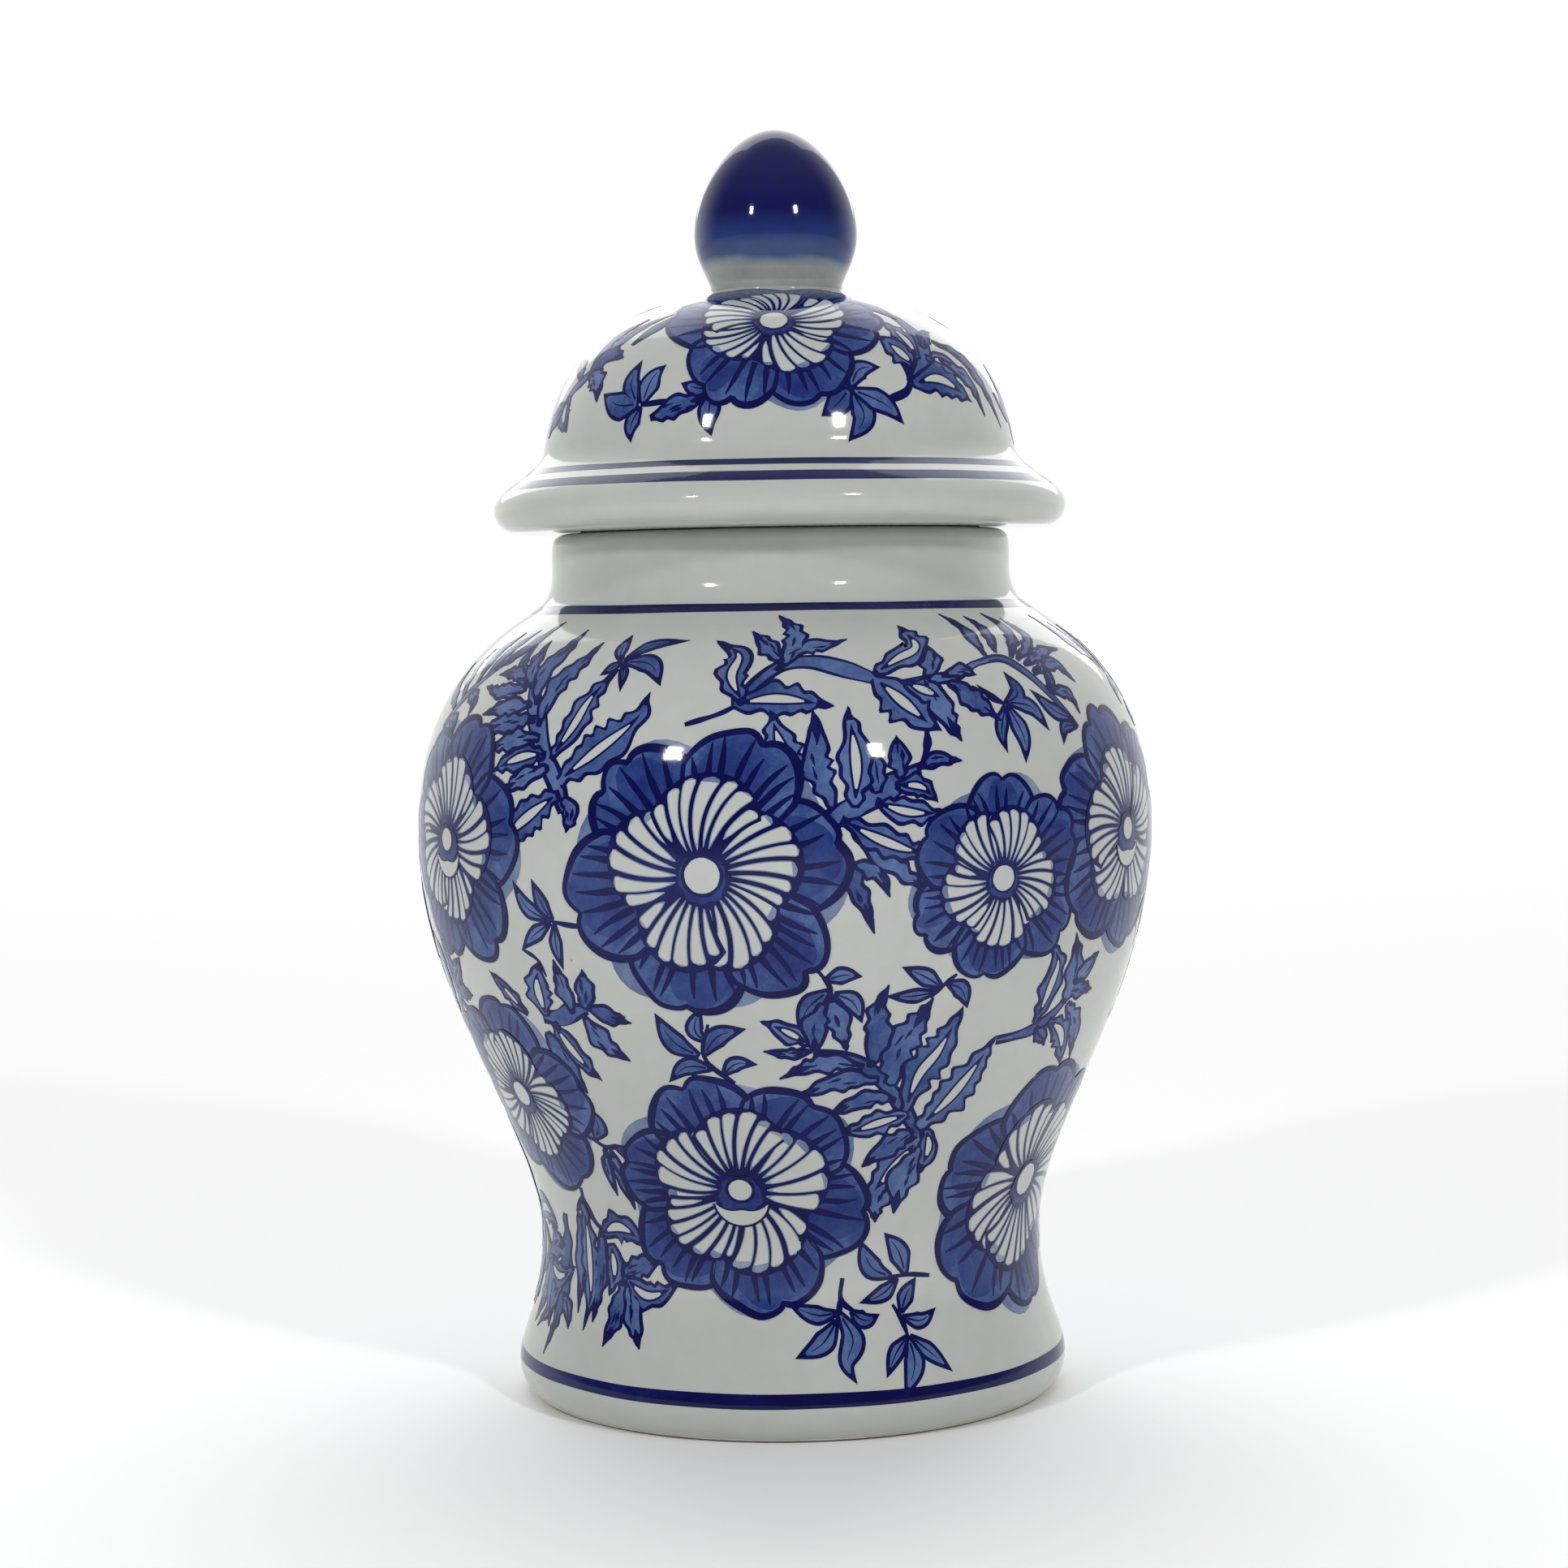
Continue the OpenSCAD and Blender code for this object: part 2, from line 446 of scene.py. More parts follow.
class Motif:
    """Brush strokes laid out in millimetres right (x) and up (y) from a middle on a wall."""

    def __init__(self, wall, azimuth, height, turn=0.0, size=1.0, shift=0.0, flip=False, seed=0):
        self.wall = wall
        self.azimuth, self.shift = math.radians(azimuth), math.radians(shift)
        self.start = wall.curve.at_height(height * MM)
        self.turn, self.size, self.flip = math.radians(turn), size, flip
        self.rng = random.Random(seed)
        self.sheets = []

    def pin(self, azimuth, height):
        """The place in the motif's plane of an azimuth in degrees and a height in millimetres."""
        s = self.wall.curve.at_height(height * MM)
        r = float(self.wall.curve.at(s)[0])
        return ((math.radians(azimuth) - self.azimuth) * r / MM, (s - self.start) / MM)

    def near(self, spread):
        """A random number from -spread to spread."""
        return self.rng.uniform(-spread, spread)

    def wave(self, t, pace):
        """A sine of t that starts anywhere."""
        return np.sin(pace * t + self.near(3))

    def cuts(self, count, low, high):
        """Where count uneven shares of a whole begin and end, from 0 to 1."""
        cuts = np.cumsum([0] + [self.rng.uniform(low, high) for _ in range(count)])
        return cuts / cuts[-1]

    def sheet(self, grid, ink, lift, tone=0.5):
        """A slip of colour over a grid of places, which has rows along it and columns across."""
        grid = np.asarray(grid, float)
        tone = np.broadcast_to(np.asarray(tone, float), grid.shape[:2])
        self.sheets.append((grid, ink, lift + self.near(0.0012), tone))

    def span(self, left, right, ink, lift, tone=0.5):
        """A slip between two lines with as many points as each other."""
        left, right = np.asarray(left, float), np.asarray(right, float)
        widest = np.linalg.norm(left - right, axis=1).max()
        t = np.linspace(0, 1, max(2, math.ceil(widest / GRAIN) + 1))[None, :, None]
        tone = np.asarray(tone, float)
        if tone.ndim == 1:
            tone = tone[:, None]
        self.sheet(left[:, None] * (1 - t) + right[:, None] * t, ink, lift, tone)

    def stroke(self, points, width, ink=LINE_INK, lift=None, tone=0.5, step=GRAIN, waver=0.1):
        """A line of the brush. width is a number, or numbers spread evenly along it."""
        line = smooth(points, step)
        t = np.linspace(0, 1, len(line))
        width = np.atleast_1d(np.asarray(width, float))
        half = np.interp(t, np.linspace(0, 1, len(width)), width) / 2
        phase, pace = self.near(3), self.rng.uniform(5, 14)
        half = np.maximum(half * (1 + waver * np.sin(phase + t * pace)), THIN)
        side = across(line) * half[:, None]
        self.span(line + side, line - side, ink, LIFT["line"] if lift is None else lift, tone)

    def leaf(self, points, width, inks, waves=0.0, pointed=0.8, step=0.6):
        """Slips one inside another along a spine. inks holds (ink, lift, margin, tone)."""
        line = smooth(points, step)
        t = np.linspace(0, 1, len(line))
        length = len(line) * step
        body = np.maximum(np.sin(math.pi * (0.05 + 0.95 * t) ** pointed), 0)
        body = np.minimum(body, 0.30 + 1.9 * t)
        sides = []
        for _ in range(2):
            beats = length / self.rng.uniform(3.4, 5.4)
            beat = beats * math.pi * t + self.near(3) + 0.9 * self.wave(t, 7)
            tooth = (1.2 * np.sin(beat) ** 2 - 0.62) * (0.8 + 0.4 * self.wave(t, 9))
            sides.append(width / 2 * (body + waves * body**0.6 * tooth))
        side = across(line)
        for ink, lift, margin, tone in inks:
            inner = [np.maximum(w - margin, 0.03) for w in sides]
            first = last = 0
            if margin > 0:
                wide = np.flatnonzero(np.minimum(*inner) > 0.12)
                if len(wide) < 3:
                    continue
                first, last = wide[0], len(line) - 1 - wide[-1]
            left, right = (line + side * w[:, None] for w in (inner[0], -inner[1]))
            keep = slice(first, len(line) - last)
            self.span(left[keep], right[keep], ink, lift, tone)

    def place(self, grid, lift):
        """Positions, normals and plane places of a grid, standing lift millimetres off the wall."""
        x, y = grid[..., 0], grid[..., 1]
        c, s = math.cos(self.turn), math.sin(self.turn)
        x, y = self.size * (x * c - y * s), self.size * (x * s + y * c)
        if self.flip:
            x = -x
        r, z, normal = self.wall.curve.at(self.start + y * MM)
        angle = self.azimuth + self.shift + x * MM / r
        out_r, out_z = normal[..., 0], normal[..., 1]
        reach = r + out_r * lift * MM
        rise = z + out_z * lift * MM
        point = np.stack([reach * np.sin(angle), -reach * np.cos(angle), rise], -1)
        facing = np.stack([out_r * np.sin(angle), -out_r * np.cos(angle), out_z], -1)
        return point, facing, np.stack([x, y], -1)

    def build(self, name):
        """One mesh of all the strokes, each a closed slip whose top shares the glaze's normals."""
        verts, faces, inks, tones, facings, plane, upper = [], [], [], [], [], [], []
        base = 0
        for grid, ink, lift, tone in self.sheets:
            top, facing, flat = self.place(grid, lift)
            low, _, _ = self.place(grid, -SUNK)
            a, b = flat[1:, 1:] - flat[:-1, :-1], flat[1:, :-1] - flat[:-1, 1:]
            if (a[..., 0] * b[..., 1] - a[..., 1] * b[..., 0]).sum() > 0:
                top, low, facing, flat = (v[::-1] for v in (top, low, facing, flat))
                tone = tone[::-1]
            rows, cols = top.shape[:2]
            count = rows * cols
            index = base + np.arange(count).reshape(rows, cols)
            quads = [index[:-1, :-1], index[1:, :-1], index[1:, 1:], index[:-1, 1:]]
            quads = np.stack(quads, -1).reshape(-1, 4)
            under = quads[:, ::-1] + count
            sides = [index[:, 0], index[-1, 1:], index[-2::-1, -1], index[0, -2:0:-1]]
            rim = np.concatenate(sides)
            ahead = np.roll(rim, -1)
            walls = np.stack([ahead, rim, rim + count, ahead + count], -1)
            for part, is_top in ((quads, True), (under, False), (walls, False)):
                faces.append(part)
                inks.append(np.full(len(part), ink))
                upper.append(np.full(len(part), is_top))
            verts += [top.reshape(-1, 3), low.reshape(-1, 3)]
            facings += [facing.reshape(-1, 3)] * 2
            plane += [flat.reshape(-1, 2)] * 2
            tones += [tone.reshape(-1)] * 2
            base += 2 * count
        faces, inks, upper = (np.concatenate(v) for v in (faces, inks, upper))
        obj = add_mesh(name, np.concatenate(verts).tolist(), faces.tolist(), INKS, inks)
        mesh = obj.data
        mesh.polygons.foreach_set("use_smooth", upper)
        tone = mesh.attributes.new("tone", "FLOAT", "POINT")
        tone.data.foreach_set("value", np.concatenate(tones).astype(np.float32))
        corners = faces.reshape(-1)
        crown = np.repeat(upper, 4)
        loop_normals = np.where(crown[:, None], np.concatenate(facings)[corners], 0.0)
        mesh.normals_split_custom_set(loop_normals.tolist())
        lay_out(mesh, np.concatenate(plane)[corners], np.repeat(inks, 4), crown)
        join_frame(obj, self.wall.body, self.wall.node)


def lay_out(mesh, flat, ink, crown):
    """A texture layout with one tile for each ink, and one for the hidden undersides."""
    low = flat.min(0)
    uv = (flat - low) * ((1 - 2 * TILE_EDGE) / (flat.max(0) - low).max()) + TILE_EDGE
    tile = np.where(crown, ink, len(INKS))
    uv[:, 0] = (uv[:, 0] + tile % TILES) / TILES
    uv[:, 1] = (uv[:, 1] + tile // TILES) / TILES
    layer = mesh.uv_layers.new(name="OFBake")
    layer.data.foreach_set("uv", uv.reshape(-1).astype(np.float32))


def band(wall, height, width, name, seed):
    """A painted ring, drawn in one turn of the brush that laps over its start at the back."""
    ring = Motif(wall, 0, height, seed=seed)
    r = float(wall.curve.at(ring.start)[0]) / MM
    lap = r * math.pi * 1.006
    count = int(2 * lap / 1.5)
    x = np.linspace(-lap, lap, count)
    waver = 0.05 * np.sin(x / 11 + seed) + 0.04 * np.sin(x / 4.3)
    half = width / 2 * (1 + 0.07 * np.sin(x / 17 + 2 * seed))
    half[[0, 1, -2, -1]] *= (0.3, 0.8, 0.8, 0.3)
    tone = 0.5 + 0.14 * np.sin(x / 23 + seed)
    low, high = (np.stack([x, y], -1) for y in (waver - half, waver + half))
    ring.span(low, high, LINE_INK, LIFT["line"], tone)
    ring.build(name)


# ---------------- the flower

# A flower is drawn to one size, in mm from its middle, and then scaled to its own radius.
BLOOM = 29  # the radius that it is drawn to
PETAL_TIPS, HEART_RIM, EYE_RIM = 28.4, 17.3, 5.1
PETAL_ROOTS = 3.4  # how far the petals run in under the heart


def polar(radius, angle):
    """The place at an angle and a distance from the middle."""
    return np.stack([radius * np.cos(angle), radius * np.sin(angle)], -1)


def fan(motif, start, end, reach, bend, fingers, level):
    """One pale petal: rounded fingers on a dark ground, swept sideways towards their tips."""
    rng = motif.rng
    lift = FANS + 0.036 * level
    line = 0.45  # the dark line round the fingers
    inset = 1.5  # how far the ground runs in under the eye
    gap = 1.2  # between the ground's points

    def swell(a):
        share = np.clip((a - start) / (end - start), 0, 1)
        return reach * (0.83 + 0.24 * np.sin(math.pi * share) ** 0.8)

    def swept(radius, angle):
        share = np.clip((radius - EYE_RIM) / (reach - EYE_RIM), 0, 1.2)
        return polar(radius, angle + bend * share**1.4)

    lap = 0.55 / reach  # how far the ground runs under its neighbours
    angles = np.linspace(start - lap, end + lap, max(4, int((end - start) * reach / gap)))
    t = np.linspace(0, 1, int(reach / gap))
    root = EYE_RIM - inset
    radii = root + (swell(angles)[:, None] + line - root) * t
    motif.sheet(swept(radii, angles[:, None]), LINE_INK, lift, 0.5 + motif.near(0.1))

    cuts = start + (end - start) * motif.cuts(fingers, 0.8, 1.25)
    for k, (a, b) in enumerate(zip(cuts, cuts[1:])):
        tip = swell((a + b) / 2) * rng.uniform(0.955, 1.0)
        root = EYE_RIM * rng.uniform(0.92, 1.12)
        if k in (0, fingers - 1) and rng.random() < 0.4:
            root = EYE_RIM + (tip - EYE_RIM) * rng.uniform(0.25, 0.5)
        t = 1 - (1 - np.linspace(0, 1, 15)) ** 1.35
        radius = root + (tip - root) * t
        half = np.maximum((b - a) / 2 - (0.36 + motif.near(0.05)) / radius, 0.10 / radius)
        past = np.clip((radius - tip + 0.9) / 0.9, 0, 1)
        half *= np.sqrt(np.maximum(1 - past**2, 0.02))
        half *= np.clip((radius - root + 0.6) / 2.2, 0.25, 1)
        mid = (a + b) / 2 + 0.05 * motif.near(0.4)
        sides = mid + half[:, None] * np.array([-1, 0, 1])
        grid = swept(np.repeat(radius[:, None], 3, 1), sides)
        motif.sheet(grid, SPILL_INK, lift + 0.012, 0.25 + motif.near(0.15))
        slim = np.clip(1 - 0.22 / np.maximum(half * radius, 0.22), 0.12, 1)[:, None, None]
        slimmer = (grid[:, 1:2] + (grid - grid[:, 1:2]) * slim)[1:-1]
        motif.sheet(slimmer, PALE_INK, lift + 0.022)
        if rng.random() < 0.28:
            stain = grid[int(len(t) * rng.uniform(0.72, 0.86)) :]
            motif.sheet(stain, SPILL_INK, lift + 0.032, 0.4 + motif.near(0.2))


def petal(motif, start, end, inner, outer, scallops, level):
    """One dark petal: a scalloped wash with a drawn edge and streaks up from its root."""
    rng = motif.rng
    lift = PETALS + 0.027 * level
    ink = {"lift": lift + 0.018, "tone": 0.55}
    depth = outer - inner
    t = np.linspace(0, 1, max(12, int((end - start) * outer / 0.9)))
    bumps = np.abs(np.sin(math.pi * scallops * t ** rng.uniform(0.8, 1.3)))
    bumps = bumps * (0.85 + 0.3 * motif.wave(t, 4))
    body = np.clip(np.sin(math.pi * t), 0, 1) ** 0.36
    rim = inner + depth * (body * 0.79 + 0.24 * body * bumps**0.7 - 0.02)
    angle = start + (end - start) * t + 0.07 * np.sin(2 * math.pi * t)
    cols = np.linspace(0, 1, max(4, int(depth / 0.95) + 1))
    root = inner - PETAL_ROOTS
    tone = 0.42 + 0.14 * (1 - cols) + 0.1 * motif.wave(t, 5)[:, None]
    ground = root + (rim[:, None] - root) * cols
    motif.sheet(polar(ground, angle[:, None]), WASH_INK, lift, tone)

    # a second coat that stops short of the rim, over a part of the petal
    a, b = sorted((rng.uniform(0.02, 0.35), rng.uniform(0.6, 0.98)))
    pick = (t > a) & (t < b)
    if pick.sum() > 4:
        cover = 0.42 + 0.5 * np.sin(math.pi * (t[pick] - a) / (b - a)) ** 0.5
        coat = polar(root + (rim[pick, None] - root) * cols * cover[:, None], angle[pick, None])
        motif.sheet(coat, WASH_INK, lift + 0.009, 0.64 + motif.near(0.08))

    unsteady = 0.14 * np.stack([motif.wave(t, 23), motif.wave(t, 19)], -1)
    edge = polar(rim - 0.25, angle) + unsteady
    motif.stroke(edge, [0.9, 1.5, 1.1, 1.6, 0.9], step=0.8, waver=0.2, **ink)
    streaks = rng.randint(6, 8)
    for k in range(streaks):
        share = (k + 0.5 + motif.near(0.22)) / streaks
        a = start + (end - start) * (0.08 + 0.84 * share)
        long = (float(np.interp(a, angle, rim)) - inner) * rng.uniform(0.68, 0.92)
        lean = motif.near(0.05) + 0.07 * (share - 0.5)
        way = [(inner - 2.2, a), (inner + long * 0.5, a + lean * 0.4), (inner + long, a + lean)]
        way = [polar(*point) for point in way]
        motif.stroke(way, [1.5, 1.4, 1.25, 0.9, 0.3], step=1.1, **ink)


def flower(wall, name, seed, azimuth, height, radius, petals, turn, crescent):
    """An open bloom: a pale eye, five fans of pale fingers, and scalloped petals round them."""
    motif = Motif(wall, azimuth, height, turn, radius / BLOOM, seed=seed)
    rng = motif.rng
    heart = HEART_RIM + motif.near(0.5)
    whole = 2 * math.pi

    # pale blue that has run past the outlines, widest in the notches
    a = np.linspace(0, whole, 74)
    cloud = 24.6 + 1.8 * motif.wave(a, 3) + 1.6 * np.sin(petals * a + motif.near(0.5))
    cloud[-1] = cloud[0]
    spilt = polar(cloud[:, None] * np.linspace(0.55, 1, 10), a[:, None])
    motif.sheet(spilt, SPILL_INK, LIFT["spill"], 0.35 + 0.3 * np.sin(2 * a)[:, None] ** 2)

    cuts = whole * motif.cuts(petals, 0.85, 1.15)
    for k in range(petals):
        level = 2 if (k == petals - 1 and petals % 2) else k % 2
        outer = PETAL_TIPS + motif.near(1.0)
        lap = 0.11 if k % 2 else 0.07
        scallops = rng.choice((2, 2, 3))
        petal(motif, cuts[k] - lap, cuts[k + 1] + lap, heart - 0.2, outer, scallops, level)

    ground = polar(np.linspace(1.0, 0.84 * heart, 13)[None, :], a[:, None])
    motif.sheet(ground, LINE_INK, HEART, 0.5)
    fans, lap = 5, 0.05
    cuts = whole * motif.cuts(fans, 0.88, 1.12) + rng.uniform(0, 1)
    sway, odd = rng.choice((-1, 1)), rng.randint(0, fans - 1)
    for k in range(fans):
        level = 2 if k == fans - 1 else k % 2
        bend = sway * rng.uniform(0.12, 0.26) * (-1 if k == odd else 1)
        fan(motif, cuts[k] - lap, cuts[k + 1] + lap, heart, bend, rng.randint(6, 7), level)
    eye(motif, crescent)
    motif.build(name)


def disc(motif, middle, radius, ink, lift, tone=0.5, rough=0.0):
    """A round blot, as a ring of rows from near its middle to its edge."""
    a = np.linspace(0, 2 * math.pi, max(20, int(radius * 8)))
    edge = radius * (1 + rough * (motif.wave(a, 5) + motif.wave(a, 9)))
    edge[-1] = edge[0]
    t = np.linspace(0.01, 1, max(3, int(radius / 1.1) + 1))
    motif.sheet(np.asarray(middle) + polar(edge[:, None] * t, a[:, None]), ink, lift, tone)


def eye(motif, crescent):
    """A pale disc in a dark ring, with a pale crescent hung below it on some of the flowers."""
    down = polar(2.6, -math.pi / 2 - motif.turn)
    low = down * (0.6 if crescent else 0.4)
    disc(motif, low, EYE_RIM * 0.98, LINE_INK, EYE, 0.35, 0.05)
    disc(motif, low * 0.8, EYE_RIM * 0.86, WASH_INK, EYE + 0.010, 0.75, 0.05)
    if crescent:
        count, reach, thick = 17, 5.5, 3.4
        a = np.linspace(math.pi * 1.04, math.pi * 1.96, count) - motif.turn
        bulge = thick * np.sin(np.linspace(0, math.pi, count))
        for grow, ink, lift in ((0.5, LINE_INK, EYE + 0.020), (0.0, PALE_INK, EYE + 0.030)):
            outer = polar(np.full(count, reach + grow), a) + down
            inner = polar(reach - grow - bulge, a) + down
            motif.span(outer, inner, ink, lift)
    rim = 3.1 if crescent else 4.0
    disc(motif, (0, 0), rim, LINE_INK, EYE + 0.040, rough=0.02)
    disc(motif, (0, 0), rim - 0.7, PALE_INK, EYE + 0.050, rough=0.01)


# ---------------- leaves

# The functions here draw one part of a spray along a path. lift holds the heights of its layers,
# and shade is the tone of its wash.


def twig(motif, path, width, lift, shade):
    """A thin line, with no wash in it."""
    widths = width * np.array([0.7, 1.1, 1, 0.6])
    motif.stroke(path, widths, lift=lift["line"], step=1.0, waver=0.2)


def stem(motif, path, width, lift, shade):
    """A thick line with a wash along its middle."""
    motif.stroke(path, width * np.array([0.7, 1, 1, 0.5]), lift=lift["line"], waver=0.12)
    inner = (width - 1.2) * np.array([0.2, 1, 1, 0.2])
    motif.stroke(path, inner, WASH_INK, lift["fill"], shade, waver=0.2)


def blade(motif, path, width, lift, shade):
    """A smooth leaf with a vein."""
    slips = [(LINE_INK, lift["line"], 0, 0.5), (WASH_INK, lift["fill"], 0.78, shade)]
    motif.leaf(path, 1.25 * width, slips)
    vein = smooth(path)
    motif.stroke(vein[1 : len(vein) * 2 // 3 + 1], [0.45, 0.3, 0.12], lift=lift["slot"])


def ragged(motif, path, width, lift, shade):
    """A leaf with a toothed edge. Gives the line along its middle."""
    slips = [(LINE_INK, lift["line"], 0, 0.5), (WASH_INK, lift["fill"], 0.82, shade)]
    motif.leaf(path, 1.26 * width, slips, waves=0.30)
    return smooth(path, 0.9)


def slot(motif, path, width, lift, shade):
    """A ragged leaf that is left white along its middle."""
    rib = ragged(motif, path, width, lift, shade)
    rib = rib[int(len(rib) * 0.10) : int(len(rib) * 0.84)]
    slips = [(LINE_INK, lift["slot"], 0, 0.5), (PALE_INK, lift["pale"], 0.46, 0.5)]
    motif.leaf(rib, min(2.6, width * 0.50), slips, pointed=1.0)


def leaf(motif, path, width, lift, shade):
    """A ragged leaf with a dark tip and a few short ticks."""
    rng = motif.rng
    rib = ragged(motif, path, width, lift, shade)
    tip = rib[int(len(rib) * rng.uniform(0.55, 0.75)) :]
    if len(tip) > 3:
        motif.stroke(tip, [0.2, 0.45 * width, 0.3], lift=lift["slot"], tone=0.4)
    for _ in range(rng.randint(2, 4)):
        first = rng.randint(1, max(1, len(rib) - 6))
        tick = rib[first : first + 4] + np.array([motif.near(0.25), motif.near(0.25)]) * width
        motif.stroke(tick, [0.15, 0.7, 0.15], lift=lift["pale"], tone=0.4, waver=0.4)


